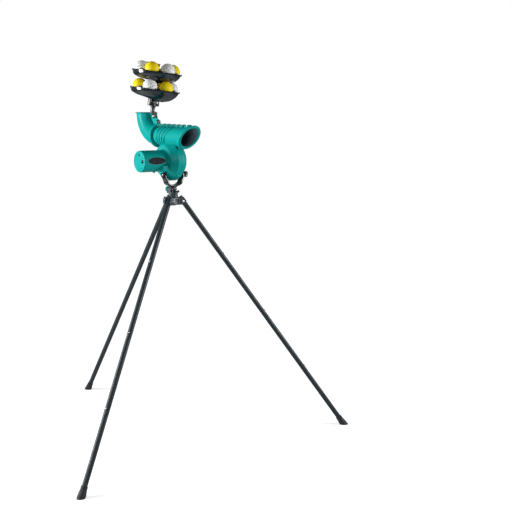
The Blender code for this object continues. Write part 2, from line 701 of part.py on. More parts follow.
def barrel_outside():
    profile = [(NECK_REAR, 0.0), (NECK_REAR, NECK_R), (GROOVE_END, NECK_R)]
    for k in range(RIB_COUNT):
        start = GROOVE_END + k * RIB_PITCH
        profile += [(start + 0.0008, RIB_R), (start + RIB_PITCH - 0.0030, RIB_R),
                    (start + RIB_PITCH - 0.0008, RIB_R - RIB_DIP)]
    ribs_end = GROOVE_END + RIB_COUNT * RIB_PITCH
    lip = MUZZLE_X - 0.014
    profile += [(ribs_end + 0.002, PIPE_R), (FLARE_START, PIPE_R), (FLARE_START + 0.014, PIPE_R + 0.0035),
                (lip, MUZZLE_R - 0.0015), (lip + 0.006, MUZZLE_R), (MUZZLE_X - 0.004, MUZZLE_R - 0.001),
                (MUZZLE_X - 0.001, MUZZLE_R - 0.0035), (MUZZLE_X, MUZZLE_R - 0.0065), (MUZZLE_X, 0.0)]
    return barrel_solid(profile)


def barrel_inside():
    """The barrel's bore, opening out through the mouth."""
    flare = 0.008
    widen = MUZZLE_MOUTH_R - BARREL_BORE - 0.001
    throat = BARREL_BORE + 0.001
    profile = [(NECK_REAR - 0.02, 0.0), (NECK_REAR - 0.02, BARREL_BORE), (MUZZLE_X - 3 * flare, BARREL_BORE),
               (MUZZLE_X - flare, throat), (MUZZLE_X + flare, throat + 2 * widen), (MUZZLE_X + flare, 0.0)]
    return barrel_solid(profile)


def drum_solid(inset):
    """The wheel drum, or the space inside its wall when inset is the wall's thickness."""
    fall = DRUM_SIDE - DRUM_RIM
    run = DRUM_R - DRUM_SIDE_R
    slope = math.hypot(fall, run)
    half = DRUM_RIM - inset * (slope - run) / fall
    side_r = DRUM_SIDE_R - inset * (slope - fall) / run
    rim = DRUM_R - inset
    side = DRUM_SIDE - inset
    round_in = 0.0015 if inset == 0 else 0.0
    profile = [(0.0, side), (side_r - round_in, side)]
    if round_in:
        profile.append((side_r + round_in * 0.7, side - round_in * 0.9))
        profile.append((rim - round_in * 0.9, half + round_in * 0.7))
    profile += [(rim, half - round_in), (rim, -half + round_in)]
    if round_in:
        profile.append((rim - round_in * 0.9, -half - round_in * 0.7))
        profile.append((side_r + round_in * 0.7, -side + round_in * 0.9))
    profile += [(side_r - round_in, -side), (0.0, -side)]
    return turned(profile, DRUM_SIDES)


def boss_places():
    """X and Z of every screw boss on the seam between the shells."""
    places = [(x, BARREL_Z + RAIL_UP) for x in TOP_BOSSES]
    places.append((UNDER_BOSS, BARREL_Z - RAIL_UP + 0.0005))
    reach = DRUM_R + 0.001
    places.append((WHEEL_X + reach * math.cos(RIM_BOSS_ANGLE), WHEEL_Z + reach * math.sin(RIM_BOSS_ANGLE)))
    return places


def body_tools():
    """Solids that both shells are joined with or cut by."""
    wheel_at = (WHEEL_X, 0, WHEEL_Z)
    across = (0, 1, 0)
    joined = [place("drum_outside", drum_solid(0.0), None, TRIPOD, wheel_at, across)]
    rail_length = TOP_BOSSES[-1] - TOP_BOSSES[0]
    rail_middle = (TOP_BOSSES[-1] + TOP_BOSSES[0]) / 2
    rail = block((rail_length, 2 * RAIL_HALF, 0.010), (rail_middle, 0, BARREL_Z + RAIL_UP - 0.006))
    joined.append(place("top_rail", rail, None, TRIPOD))
    for k, (x, z) in enumerate(boss_places()):
        boss = rod(BOSS_R, -BOSS_HALF, BOSS_HALF, 12)
        joined.append(place(f"boss_{k}", boss, None, TRIPOD, (x, 0, z), across))
    rooms = [place("barrel_bore", barrel_inside(), None, TRIPOD, (0, 0, BARREL_Z)),
             place("drum_inside", drum_solid(DRUM_WALL), None, TRIPOD, wheel_at, across)]
    stud = rod(bore(STUD_R, 12), -0.06, 0.06, 12)
    shaft_hole = rod(bore(SHAFT_R, 16), -0.06, SHAFT_LEFT + GAP, 16)
    holes = [place("stud_hole", stud, None, TRIPOD, (0, 0, TILT_Z), across),
             place("shaft_hole", shaft_hole, None, TRIPOD, wheel_at, across)]
    return joined, rooms, holes


def make_shells():
    """Two mirror-image mouldings that meet on the barrel's middle plane."""
    joined, rooms, holes = body_tools()
    wheel_at = (WHEEL_X, 0, WHEEL_Z)
    foot = block((0.034, 0.036, 0.026), (0.018, -DRUM_SIDE - 0.017, WHEEL_Z - 0.033))
    case_room = rod(bore(CASE_R, BODY_SIDES), DRUM_SIDE, 0.2, BODY_SIDES)
    size = 1.0
    boss_in = side_boss_inside()
    for name, sign in (("right_shell", -1), ("left_shell", 1)):
        shell = place(name, barrel_outside(), GREEN, TRIPOD, (0, 0, BARREL_Z))
        for tool in joined:
            combine(shell, tool, "UNION")
        if sign < 0:
            join(shell, foot, TRIPOD)
            cut(shell, case_room, TRIPOD, wheel_at, (0, -1, 0))
        for tool in rooms:
            combine(shell, tool)
        side_boss = rod(SIDE_BOSS_R, boss_in, BOSS_FACE, 16)
        join(shell, side_boss, TRIPOD, (0, 0, TILT_Z), (0, sign, 0))
        seat = rod(BEARING_R, BEARING_IN, DRUM_SIDE - 0.001, 18)
        join(shell, seat, TRIPOD, wheel_at, (0, sign, 0))
        for tool in holes:
            combine(shell, tool)
        other = block((size, size, size), (0, -sign * (size / 2 - GAP / 2), BARREL_Z))
        cut(shell, other, TRIPOD)


def make_pressure_pad():
    """Curved pad on the barrel's roof that the wheel pinches the ball against."""
    outer = BARREL_BORE * math.cos(math.pi / BODY_SIDES) - GAP
    inner = outer - PAD_THICK
    low = 90 - PAD_SPAN
    high = 90 + PAD_SPAN
    outline = arc((0, 0), outer, low, high, 8) + arc((0, 0), inner, high, low, 8)
    pad = plate_across_x(outline, 2 * PAD_HALF_LENGTH)
    place("pressure_pad", pad, URETHANE, TRIPOD, (WHEEL_X, 0, BARREL_Z))


def make_wheel():
    """Urethane tyre on a windowed hub, keyed to the motor's shaft."""
    axis = (0, 1, 0)
    at = (WHEEL_X, 0, WHEEL_Z)
    tyre = [(TYRE_R, TYRE_HALF), (TYRE_R - TYRE_DISH, 0.0), (TYRE_R, -TYRE_HALF),
            (TYRE_INNER_R, -TYRE_HALF), (TYRE_INNER_R, TYRE_HALF)]
    place("wheel_tyre", turned(tyre, BODY_SIDES, ring=True), URETHANE, TRIPOD, at, axis)
    rim = TYRE_INNER_R * math.cos(math.pi / BODY_SIDES) - GAP
    rim_in = rim - 0.006
    hole = bore(SHAFT_R, 16)
    half = TYRE_HALF - 0.001
    hub = [(rim, half), (rim, -half), (rim_in, -half), (rim_in, -WHEEL_WEB), (WHEEL_BOSS_R, -WHEEL_WEB),
           (WHEEL_BOSS_R, -WHEEL_BOSS_HALF), (hole, -WHEEL_BOSS_HALF), (hole, WHEEL_BOSS_HALF),
           (WHEEL_BOSS_R, WHEEL_BOSS_HALF), (WHEEL_BOSS_R, WHEEL_WEB), (rim_in, WHEEL_WEB), (rim_in, half)]
    wheel = place("wheel_hub", turned(hub, 24, ring=True), STEEL, TRIPOD, at, axis)
    for k in range(WHEEL_WINDOWS):
        angle = 2 * math.pi * k / WHEEL_WINDOWS
        centre = Vector(at) + Vector((math.cos(angle), 0, math.sin(angle))) * (WHEEL_BOSS_R + rim_in) / 2
        cut(wheel, rod(0.0115, -0.02, 0.02, 8), TRIPOD, centre, axis)
    shaft_far = -DRUM_SIDE - 0.026
    shaft = [(0.0, SHAFT_LEFT), (SHAFT_R - 0.0005, SHAFT_LEFT), (SHAFT_R, SHAFT_LEFT - 0.0005),
             (SHAFT_R, shaft_far), (0.0, shaft_far)]
    place("drive_shaft", turned(shaft, 14), STEEL, TRIPOD, at, axis)


def make_motor():
    """Case, end cap, motor and power socket."""
    axis = (0, -1, 0)
    at = (WHEEL_X, 0, WHEEL_Z)
    near = DRUM_SIDE + GAP
    inner = CASE_R - CASE_WALL
    room = inner * math.cos(math.pi / BODY_SIDES) - GAP
    case = [(inner, CASE_END), (CASE_R, CASE_END), (CASE_R, near), (inner, near)]
    housing = place("motor_case", turned(case, BODY_SIDES, ring=True), GREEN, TRIPOD, at, axis)
    toggle_at = (WHEEL_X, -TOGGLE_Y, WHEEL_Z)
    boss = rod(BUSH_R + 0.002, inner + 0.001, CASE_R + SWITCH_BOSS, 14, BUSH_R)
    join(housing, boss, TRIPOD, toggle_at, (0, 0, -1))
    hole = rod(bore(TOGGLE_R, 10) + 0.0008, 0.0, 0.1, 10)
    cut(housing, hole, TRIPOD, toggle_at, (0, 0, -1))
    low = CASE_END + GAP
    high = low + END_CAP
    r = CASE_R
    cap = [(0.0, high), (r - 0.006, high), (r - 0.0022, high - 0.0010), (r - 0.0005, high - 0.0035),
           (r, high - 0.006), (r, low + 0.0006), (r - 0.0008, low), (room, low), (room, low - 0.006),
           (0.0, low - 0.006)]
    end_cap = place("motor_end_cap", turned(cap, BODY_SIDES), GREEN, TRIPOD, at, axis)
    for x, z, radius in CAP_POCKETS:
        pocket = rod(radius, high - 0.006, high + 0.01, 10)
        cut(end_cap, pocket, TRIPOD, (WHEEL_X + x, 0, WHEEL_Z + z), axis)
    socket_at = (WHEEL_X + SOCKET_X, 0, WHEEL_Z)
    cut(end_cap, rod(bore(SOCKET_R, 16), 0.0, 0.3, 16), TRIPOD, socket_at, axis)
    well = SOCKET_R - 0.0024
    socket = [(0.0, high - 0.007), (well, high - 0.007), (well, high + 0.0005), (SOCKET_R, high + 0.0005),
              (SOCKET_R, low - 0.004), (0.0, low - 0.004)]
    place("power_socket", turned(socket, 16), BLACK, TRIPOD, socket_at, axis)
    far = near + MOTOR_LENGTH
    hole = bore(SHAFT_R, 20)
    deep = DRUM_SIDE + 0.027
    can = [(0.0, far), (MOTOR_R - 0.004, far), (MOTOR_R, far - 0.004), (MOTOR_R, near + 0.006),
           (room, near + 0.006), (room, near), (hole, near), (hole, deep), (0.0, deep)]
    place("drive_motor", turned(can, 20), STEEL, TRIPOD, at, axis)
    root = MOTOR_R + 2 * GAP
    neck = CASE_R + SWITCH_BOSS
    end = neck + TOGGLE_LENGTH
    lever = [(0.0, end), (TOGGLE_R * 0.9, end - 0.0006), (TOGGLE_R, end - 0.002), (TOGGLE_R * 0.6, neck),
             (TOGGLE_R * 0.6, root), (0.0, root)]
    place("toggle_lever", turned(lever, 10), STEEL, TRIPOD, toggle_at, (0, 0, -1))


def elbow_path(beyond):
    """Centre line of the feed elbow, from the collar back and up to the mouth."""
    points = [(COLLAR_FRONT + beyond - 0.004, BARREL_Z)]
    points += arc((BEND_START, ELBOW_TOP), BEND, 270, 180, 7)
    points.append((ELBOW_X, ELBOW_TOP + 0.001 + beyond))
    return points


def make_elbow():
    """Feed elbow that swivels on the barrel's neck, with its mouth upward."""
    elbow = place("feed_elbow", swept(elbow_path(0.0), ELBOW_R), GREEN, TRIPOD)
    r = COLLAR_R
    collar = [(0.0, COLLAR_FRONT), (r - 0.001, COLLAR_FRONT), (r, COLLAR_FRONT - 0.001),
              (r, COLLAR_BACK + 0.008), (r - 0.001, COLLAR_BACK + 0.007), (ELBOW_R + 0.001, COLLAR_BACK),
              (0.0, COLLAR_BACK)]
    join(elbow, turned(collar, BODY_SIDES), TRIPOD, (0, 0, BARREL_Z), (1, 0, 0))
    lip = rod(ELBOW_LIP_R, ELBOW_TOP, ELBOW_TOP + ELBOW_LIP, BODY_SIDES)
    join(elbow, lip, TRIPOD, (ELBOW_X, 0, 0))
    clamp_z = BARREL_Z + CLAMP_UP
    back = ELBOW_X + ELBOW_R - 0.0035
    web = [(back, FEEDER_Z - 0.016), (FEEDER_X - 0.028, FEEDER_Z - 0.060),
           (FEEDER_X - 0.010, BARREL_Z + NECK_R + 0.004), (COLLAR_FRONT - 0.001, BARREL_Z + NECK_R + 0.006)]
    web += arc((CLAMP_X, clamp_z), 0.006, 0, 90, 4)
    web += arc((FEEDER_X, FEEDER_Z), FOOT_EYE_R - 0.0022, -40, 100, 6)
    web.append((back, FEEDER_Z + 0.004))
    holes = (circle(bore(CLAMP_R, 10), 10, (CLAMP_X, clamp_z)),
             circle(bore(FOOT_BOLT_R, 10), 10, (FEEDER_X, FEEDER_Z)))
    join(elbow, plate_across_y(web, 2 * WEB_HALF, holes), TRIPOD)
    cut(elbow, swept(elbow_path(0.03), BARREL_BORE), TRIPOD)
    neck = rod(bore(NECK_R, BODY_SIDES), NECK_REAR - GAP, 0.0, BODY_SIDES)
    cut(elbow, neck, TRIPOD, (0, 0, BARREL_Z), (1, 0, 0), math.pi / BODY_SIDES)


def make_elbow_lock():
    """Hand screw across the collar's ear; its knob is on the machine's right."""
    face = WEB_HALF + GAP
    r = CLAMP_KNOB_R
    end = face + CLAMP_KNOB
    knob = [(0.0, end + 0.0012), (CLAMP_R, end + 0.0012), (CLAMP_R, end), (r * 0.8, end), (r, end - 0.002),
            (r, face + 0.003), (r * 0.7, face), (CLAMP_R, face), (CLAMP_R, -face - 0.003), (0.0, -face - 0.003)]
    at = (CLAMP_X, 0, BARREL_Z + CLAMP_UP)
    place("elbow_lock_screw", turned(knob, 16), BLACK, TRIPOD, at, (0, -1, 0))


def hopper_frame():
    lean = Vector((math.sin(HOPPER_LEAN) * math.cos(HOPPER_LEAN_AZIMUTH),
                   math.sin(HOPPER_LEAN) * math.sin(HOPPER_LEAN_AZIMUTH), math.cos(HOPPER_LEAN)))
    turn = Vector((0, 0, 1)).rotation_difference(lean).to_matrix()
    return frame("carousel_axis", (HOPPER_X, 0, HOPPER_Z), turn, TRIPOD)


def gearbox_outline(extra):
    half = GEARBOX_HALF - GEARBOX_R
    radius = GEARBOX_R + extra
    return arc((0, half), radius, 0, 180, 10) + arc((0, -half), radius, 180, 360, 10)


def make_feeder_post(hopper):
    """Clevis foot on the elbow's lug, with a round post up to the gearbox."""
    foot_half = WEB_HALF + GAP + FOOT_CHEEK
    foot_top = FEEDER_Z + 0.021
    foot_low = FEEDER_Z - FOOT_EYE_R
    foot = block((2 * FOOT_EYE_R, 2 * foot_half, foot_top - foot_low), (0, 0, (foot_top + foot_low) / 2))
    post = place("feeder_post", foot, BLACK, TRIPOD, (FEEDER_X, 0, 0))
    shape = arc((0, 0), FOOT_EYE_R, 180, 360, 12) + [(FOOT_EYE_R, 0.05), (-FOOT_EYE_R, 0.05)]
    cut(post, plate_across_y(shape, 0.06), TRIPOD, (FEEDER_X, 0, FEEDER_Z), operation="INTERSECT")
    top = -TRAY_PAD - 2 * GAP - GEARBOX_HEIGHT
    column = [(0.0, 0.02), (POST_R + 0.004, 0.02), (POST_R + 0.004, top - 0.002), (POST_R, top - 0.007),
              (POST_R, -0.088), (0.0, -0.088)]
    join(post, turned(column, 18), hopper)
    over = block((0.1, 0.1, 0.1), (0, 0, 0.05 + top))
    cut(post, over, hopper)
    slot = block((0.06, 2 * (WEB_HALF + GAP), 0.030), (FEEDER_X, 0, FEEDER_Z - 0.0015))
    cut(post, slot, TRIPOD)
    hole = rod(bore(FOOT_BOLT_R, 10), -0.03, 0.03, 10)
    cut(post, hole, TRIPOD, (FEEDER_X, 0, FEEDER_Z), (0, 1, 0))
    face = foot_half + GAP
    bolt = [(0.0, face + 0.004), (0.0042, face + 0.004), (0.0055, face + 0.0028), (0.0055, face),
            (FOOT_BOLT_R, face), (FOOT_BOLT_R, -face), (0.0058, -face), (0.0058, -face - 0.004),
            (0.0, -face - 0.004)]
    place("feeder_foot_bolt", turned(bolt, 12), STEEL, TRIPOD, (FEEDER_X, 0, FEEDER_Z), (0, -1, 0))


def make_gearbox(hopper):
    """Two-lobed gearbox under the lower tray, bored for the column and the carousel's shaft."""
    high = -TRAY_PAD - GAP
    low = high - GEARBOX_HEIGHT
    shape = plate(gearbox_outline(0.0), GEARBOX_HEIGHT)
    box = place("feeder_gearbox", shape, BLACK, hopper, (0, 0, (high + low) / 2))
    bevel(box, 0.0025, 1, 50)
    for sign in (-1, 1):
        flute = rod(0.0045, low - 0.01, high + 0.01, 10)
        cut(box, flute, hopper, (sign * (GEARBOX_R + 0.0015), 0, 0))
    well = rod(bore(SLEEVE_R, 20), high - 0.012, high + 0.01, 20)
    cut(box, well, hopper)
    hole = rod(bore(SHAFT2_R, 12), high - 0.028, high, 12)
    cut(box, hole, hopper)


def tray_bowl(lean):
    """Outside of a tray: rings that sink and shrink, lean, and shift towards the high side."""
    low_side = Vector((math.cos(HOPPER_LEAN_AZIMUTH), math.sin(HOPPER_LEAN_AZIMUTH), 0))
    across = Vector((-low_side.y, low_side.x, 0))
    rings = []
    for narrower, depth in TRAY_RINGS:
        radius = TRAY_R - narrower
        share = (max(depth, 0.0) / TRAY_DEPTH) ** 2
        tip = math.radians(lean) * share
        centre = low_side * (-TRAY_SHIFT * share) + Vector((0, 0, TRAY_RIM - depth))
        out = low_side * math.cos(tip) - Vector((0, 0, math.sin(tip)))
        ring = []
        for j in range(TRAY_SIDES):
            angle = 2 * math.pi * j / TRAY_SIDES
            ring.append(centre + out * (radius * math.cos(angle)) + across * (radius * math.sin(angle)))
        rings.append(ring)
    return lofted(rings)


def tray_trough():
    """Space for the balls: a flat track with a rounded wall up to the rim."""
    facet = math.cos(math.pi / TRAY_SIDES)
    wall = TRAY_R - TRAY_WALL
    profile = [(0.0, 0.10), (wall, 0.10), (wall, TRAY_RIM)]
    for angle in (-12.0, -35.0, -58.0, -80.0):
        turn = math.radians(angle)
        profile.append(((SLOT_R + TROUGH_R * math.cos(turn)) / facet, TROUGH_R * (1 + math.sin(turn))))
    profile += [(SLOT_R + 0.002, 0.0), (0.0, 0.0)]
    return turned(profile, TRAY_SIDES)


def make_trays(hopper):
    """Two dishes; each has a hole where a ball drops, the lower one over the feed mouth."""
    drops = {"lower_tray": 180.0, "upper_tray": SLOT_TURN + 120.0}
    for name, level, lean in (("lower_tray", 0.0, 11.0), ("upper_tray", TIER, 9.0)):
        tray = place(name, tray_bowl(lean), BLACK, hopper, (0, 0, level))
        trough = place(name + "_trough", tray_trough(), None, hopper, (0, 0, level))
        combine(tray, trough)
        turn = math.radians(drops[name])
        hole = rod(DROP_HOLE_R, level - 0.05, level + 0.05, 20)
        at = (SLOT_R * math.cos(turn), SLOT_R * math.sin(turn), 0)
        cut(tray, hole, hopper, at)
        if name == "lower_tray":
            pad = plate(gearbox_outline(2 * GAP), 0.06)
            cut(tray, pad, hopper, (0, 0, -TRAY_PAD - 0.03))
            cut(tray, rod(bore(SLEEVE_R, 20), -0.03, 0.01, 20), hopper)
        else:
            lane = turned(circle(BALL_R + 0.0018, 14, (SLOT_R, BALL_R + 2 * GAP)), TRAY_SIDES, ring=True)
            cut(tray, lane, hopper)
            seat_low = level - COLUMN_FLANGE - 0.006
            seat = rod(COLUMN_FLANGE_R + 2 * GAP, seat_low - 0.06, seat_low, 24)
            cut(tray, seat, hopper)
            cut(tray, rod(SHAFT2_R + 0.001, seat_low - 0.01, level + 0.01, 12), hopper)


def make_column(hopper):
    """Fixed fluted tube that carries the upper tray; the shaft turns inside it."""
    foot = -TRAY_PAD - 0.012
    top = TIER - COLUMN_FLANGE - 0.006 - GAP
    wide = COLUMN_R + 0.0060
    hole = bore(SHAFT2_R, 20)
    shape = [(COLUMN_FLANGE_R, top), (COLUMN_FLANGE_R, top - COLUMN_FLANGE), (wide, top - 0.010),
             (wide, ROTOR_TOP + 0.0035), (COLUMN_R, ROTOR_TOP + 0.0020), (COLUMN_R, foot), (hole, foot), (hole, top)]
    column = place("tray_column", turned(shape, 20, ring=True), BLACK, hopper)
    for k in range(6):
        turn = math.radians(60 * k)
        flute = rod(0.0025, 0.040, top - 0.011, 6)
        at = (wide * math.cos(turn), wide * math.sin(turn), 0)
        cut(column, flute, hopper, at)


def rotor(name, hopper, level, shape):
    """Ball pusher: a turned hub with six arms between the balls."""
    body = place(name, turned(shape, 18, ring=True), BLACK, hopper, (0, 0, level))
    start = ROTOR_HUB_R - 0.003
    for k in range(SLOTS):
        turn = math.radians(SLOT_TURN + 30.0 + 60.0 * k)
        outline = [(start, 0.004), (ROTOR_REACH - 0.022, 0.004), (ROTOR_REACH - 0.002, 0.018),
                   (ROTOR_REACH, 0.030), (ROTOR_REACH - 0.004, 0.034), (start, 0.034)]
        arm = plate_across_y(outline, ROTOR_ARM)
        join(body, arm, hopper, (0, 0, level), spin=turn)


def make_carousel(hopper):
    """Rotors, their shaft and cap, and the ten balls they push round."""
    low = 0.0015
    hub = ROTOR_HUB_R
    hole = bore(COLUMN_R, 18)
    sleeve_low = -TRAY_PAD - 0.011
    shape = [(hub * 0.6, ROTOR_TOP), (hub, ROTOR_SHOULDER), (hub, low), (SLEEVE_R, low),
             (SLEEVE_R, sleeve_low), (hole, sleeve_low), (hole, ROTOR_TOP)]
    rotor("lower_rotor", hopper, 0.0, shape)
    hole = bore(SHAFT2_R, 18)
    shape = [(hub * 0.6, UPPER_ROTOR_TOP), (hub, ROTOR_SHOULDER), (hub, low), (hole, low), (hole, UPPER_ROTOR_TOP)]
    rotor("upper_rotor", hopper, TIER, shape)
    cap_low = TIER + UPPER_ROTOR_TOP + GAP
    cap_top = TIER + CAP_TOP
    shaft_top = cap_top - 0.007
    place("carousel_shaft", rod(SHAFT2_R, -TRAY_PAD - 0.027, shaft_top, 12), STEEL, hopper)
    cap = [(0.0, cap_top), (CAP_R, cap_top), (CAP_R, cap_top - 0.003), (hole + 0.0015, cap_low),
           (hole, cap_low), (hole, shaft_top + GAP), (0.0, shaft_top + GAP)]
    place("carousel_cap", turned(cap, 20), BLACK, hopper)
    upper = {"white": (240.0, 0.0), "yellow": (300.0, 60.0, 180.0)}
    lower = {"white": (300.0, 60.0), "yellow": (240.0, 0.0, 120.0)}
    sphere = ball(BALL_R)
    for colour, mat in (("white", WHITE_BALL), ("yellow", YELLOW_BALL)):
        for tier, level, places in (("lower", 0.0, lower[colour]), ("upper", TIER, upper[colour])):
            for k, degrees in enumerate(places):
                angle = math.radians(SLOT_TURN + degrees)
                at = (SLOT_R * math.cos(angle), SLOT_R * math.sin(angle), level + BALL_R + 2 * GAP)
                place(f"{tier}_{colour}_ball_{k + 1}", sphere.copy(), mat, hopper, at)


def build():
    ground = place("ground_cut", block((4.0, 4.0, 1.0), (0, 0, -0.5)))
    for name, azimuth in LEG_AZIMUTHS.items():
        make_leg(name, math.radians(azimuth), ground)
    make_hub()
    make_leg_bolts()
    make_spindle()
    make_swivel()
    make_roll_clamp()
    make_fork()
    make_tilt_clamps()
    make_shells()
    make_pressure_pad()
    make_wheel()
    make_motor()
    make_elbow()
    make_elbow_lock()
    hopper = hopper_frame()
    make_feeder_post(hopper)
    make_gearbox(hopper)
    make_trays(hopper)
    make_column(hopper)
    make_carousel(hopper)


build()
bpy.context.view_layer.update()
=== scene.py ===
"""Looks of the cricket bowling machine: detailed pieces, materials, light and camera."""

import json
import math

import bmesh
import bpy
from mathutils import Matrix, Vector

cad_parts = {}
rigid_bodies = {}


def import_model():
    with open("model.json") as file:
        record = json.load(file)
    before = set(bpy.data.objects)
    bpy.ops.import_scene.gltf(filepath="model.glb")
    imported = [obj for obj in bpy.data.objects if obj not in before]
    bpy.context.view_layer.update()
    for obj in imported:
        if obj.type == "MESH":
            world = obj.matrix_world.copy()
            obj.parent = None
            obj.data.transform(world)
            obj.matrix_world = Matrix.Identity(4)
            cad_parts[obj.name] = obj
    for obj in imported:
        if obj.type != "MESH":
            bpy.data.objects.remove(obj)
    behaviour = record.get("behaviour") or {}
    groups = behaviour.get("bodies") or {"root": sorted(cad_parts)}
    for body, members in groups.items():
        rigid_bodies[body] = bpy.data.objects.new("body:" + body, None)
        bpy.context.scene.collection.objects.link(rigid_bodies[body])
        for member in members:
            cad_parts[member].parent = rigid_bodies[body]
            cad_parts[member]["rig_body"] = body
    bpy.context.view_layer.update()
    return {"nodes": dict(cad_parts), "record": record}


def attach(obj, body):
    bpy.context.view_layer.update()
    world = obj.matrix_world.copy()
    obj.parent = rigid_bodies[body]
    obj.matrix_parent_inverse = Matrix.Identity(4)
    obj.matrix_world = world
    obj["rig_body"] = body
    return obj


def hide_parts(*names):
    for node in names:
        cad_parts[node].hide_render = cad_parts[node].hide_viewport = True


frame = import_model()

SLOT_OF = {row["node"]: row["material_slot"] for row in frame["record"]["subparts"]}

# Fits and facets
GAP = 0.0003
MERGE = 0.00001
OVER = 0.01             # how far a cutter runs past what it cuts
DISH = 120              # facets round the drum and the trays
LARGE = 96              # facets round the barrel, the collar and the motor case
BENT = 72               # facets round the elbow and the column
MIDDLE = 56             # facets round the hub
TUBE = 40               # facets round a leg
SMALL = 32              # facets round small parts
TINY = 24               # facets round screws
BALL_R = 0.036
BALL_SHOWN_R = BALL_R - 0.0004

# Tripod
TUBE_R = 0.012
TUBE_WALL = 0.0015
SECTIONS = 4
PIVOT_R = 0.045
PIVOT_Z = 1.159
FOOT_R = 0.874
LEG_TOP = 0.023
SPIGOT = 0.055
BUTTON_UP = 0.030
BUTTON_R = 0.0035
BUTTON_PROUD = 0.0025
BUTTON_PLAY = 0.0006
PLUG_IN = 0.004
PLUG_RISE = 0.0014
BOOT_LENGTH = 0.050
BOOT_TOP_R = 0.0150
BOOT_SOLE_R = 0.0186
BOOT_SOLE_THICK = 0.018
BOOT_GROOVES = 3
BOOT_GROOVE_PITCH = 0.0045
BOOT_GROOVE = 0.0009
BOOT_GROOVE_WIDTH = 0.0021
BOOT_GROOVE_EDGE = 0.0005
LEG_AZIMUTHS = {"rear_leg": 180.0, "left_leg": 60.0, "right_leg": -60.0}

# Hub, swivel and roll clamp
CHEEK = 0.0065
HUB_REACH = 0.062
HUB_DROP = 0.018
LUG_RISE = 0.0165
HUB_RISE = 0.027
HUB_NECK_R = 0.0225
HUB_WEB = 0.0345
LUG_EDGE = 0.0150
HUB_POCKET = (0.003, 0.008, 0.009)      # depth, half width and half height of the hollow in a web
NECK_FOOT = 0.002
BOLT_R = 0.004
BOLT_HEAD_R = 0.0068
BOLT_HEAD = 0.0045
BOLT_SOCKET = 0.0022    # half width and depth of the hexagon
SPINDLE_R = 0.007
SPINDLE_HEAD_R = 0.012
SPINDLE_HEAD = 0.005
SPINDLE_SOCKET = 0.0045
SWIVEL_R = 0.0225
SWIVEL_HEIGHT = 0.0135
SWIVEL_GROOVE = (0.0016, 0.0030, 0.0065)        # depth, lower and upper edge
EAR_R = 0.0115
FRONT_EAR = 0.006
REAR_EAR = 0.0315
ROLL_UP = 0.0255
ROLL_PIN_R = 0.004
LOCK_KNOB_R = 0.0140
LOCK_KNOB = 0.0095
LEVER_BOSS_R = 0.0080
LEVER_BOSS = 0.0088
LEVER_THICK = 0.0070
LEVER_WING = 0.0110
LEVER_WING_R = 0.0072
LEVER_TAIL = 0.0150
LEVER_TIP_R = 0.0028
LEVER_TURN = math.radians(-30.0)

# Fork
STEM_HALF = 0.008
STEM_R = 0.0102
FORK_INNER_R = 0.0455
FORK_OUTER_R = 0.0565
FORK_BEND = 0.013
FORK_OUTER_DROP = 0.044
FORK_BULGE = 0.0180
FORK_EYE_R = 0.0135
FORK_INNER_LOW = 0.0490  # depth of the U's inside below the eyes
FORK_WIDE_UP = 0.022    # height over the U's lowest point at which the bar is widest
# Inner y, outer y and depth below the eyes of the arm, which follows the drum's chamfer
FORK_ARMS = ((FORK_INNER_R, FORK_OUTER_R, 0.0), (FORK_INNER_R, FORK_OUTER_R, 0.0125),
             (0.0430, 0.0545, 0.0165), (0.0380, 0.0505, 0.0235), (0.0340, 0.0460, 0.0310))
FORK_SLANT = 0.0045     # how much a section leans where the arm turns into the U
FORK_SQUARENESS = 4.2   # 2 is a round bar, more is squarer
FORK_FLARE = 0.0270     # half width of the stem where it joins the arms
STEM_SHOULDER = (0.0035, 0.010)
STUD_R = 0.0045
SIDE_BOSS_R = 0.0100
# Side, radius, length and lobes
TILT_KNOBS = {"right_tilt_knob": (-1, 0.0118, 0.0075, 6), "left_tilt_knob": (1, 0.0145, 0.0210, 10)}

# Body shells
WHEEL_X = -0.023
WHEEL_Z = PIVOT_Z + 0.191
TILT_Z = WHEEL_Z - 0.066
BARREL_Z = WHEEL_Z + 0.115
BARREL_BORE = 0.041
NECK_R = 0.0445
NECK_REAR = -0.126
GROOVE_END = -0.087
RIB_R = 0.0482
RIB_DIP = 0.0040
RIB_PITCH = 0.0225
RIB_COUNT = 4
RIB_GROOVE = (0.0085, 0.0060, 0.0010)   # before a rib's end: where its groove starts, is deepest and ends
PIPE_R = 0.0460
FLARE_START = 0.100
MUZZLE_X = 0.140
MUZZLE_R = 0.0570
MUZZLE_MOUTH_R = 0.0450
MUZZLE_LIP = 0.014
MOUTH = 0.008           # length over which the bore widens
MUZZLE_TILT = math.radians(36.0)
DRUM_R = 0.096
DRUM_RIM = 0.0170
DRUM_SIDE_R = 0.072
DRUM_SIDE = 0.044
DRUM_WALL = 0.003
DRUM_EDGE = 0.0022
RAIL_UP = 0.0520
RAIL_HALF = 0.0040
BOSS_R = 0.0068
BOSS_HALF = 0.0100
SCREW_R = 0.0042
SCREW_HEAD = 0.0017
SCREW_SUNK = 0.0015
TOP_BOSSES = (-0.072, -0.034, 0.006, 0.048, 0.090, 0.136)
UNDER_BOSS = 0.064
RIM_BOSS_ANGLE = math.radians(-45.0)
SHELL_FOOT_X = (0.001, 0.035)
SHELL_FOOT_DROP = (0.046, 0.020)        # below the wheel's axis
SHELL_FOOT_REACH = 0.035
# Painted shade: a dark colour on the inner walls of the bore and the elbow and in the balls' slits
SHADE_PLAY = 0.0016    # how far off the bore's wall a point still counts as on it
SHADE_END = 0.004
PAD_THICK = 0.003
PAD_HALF_LENGTH = 0.045
PAD_SPAN = 38.0

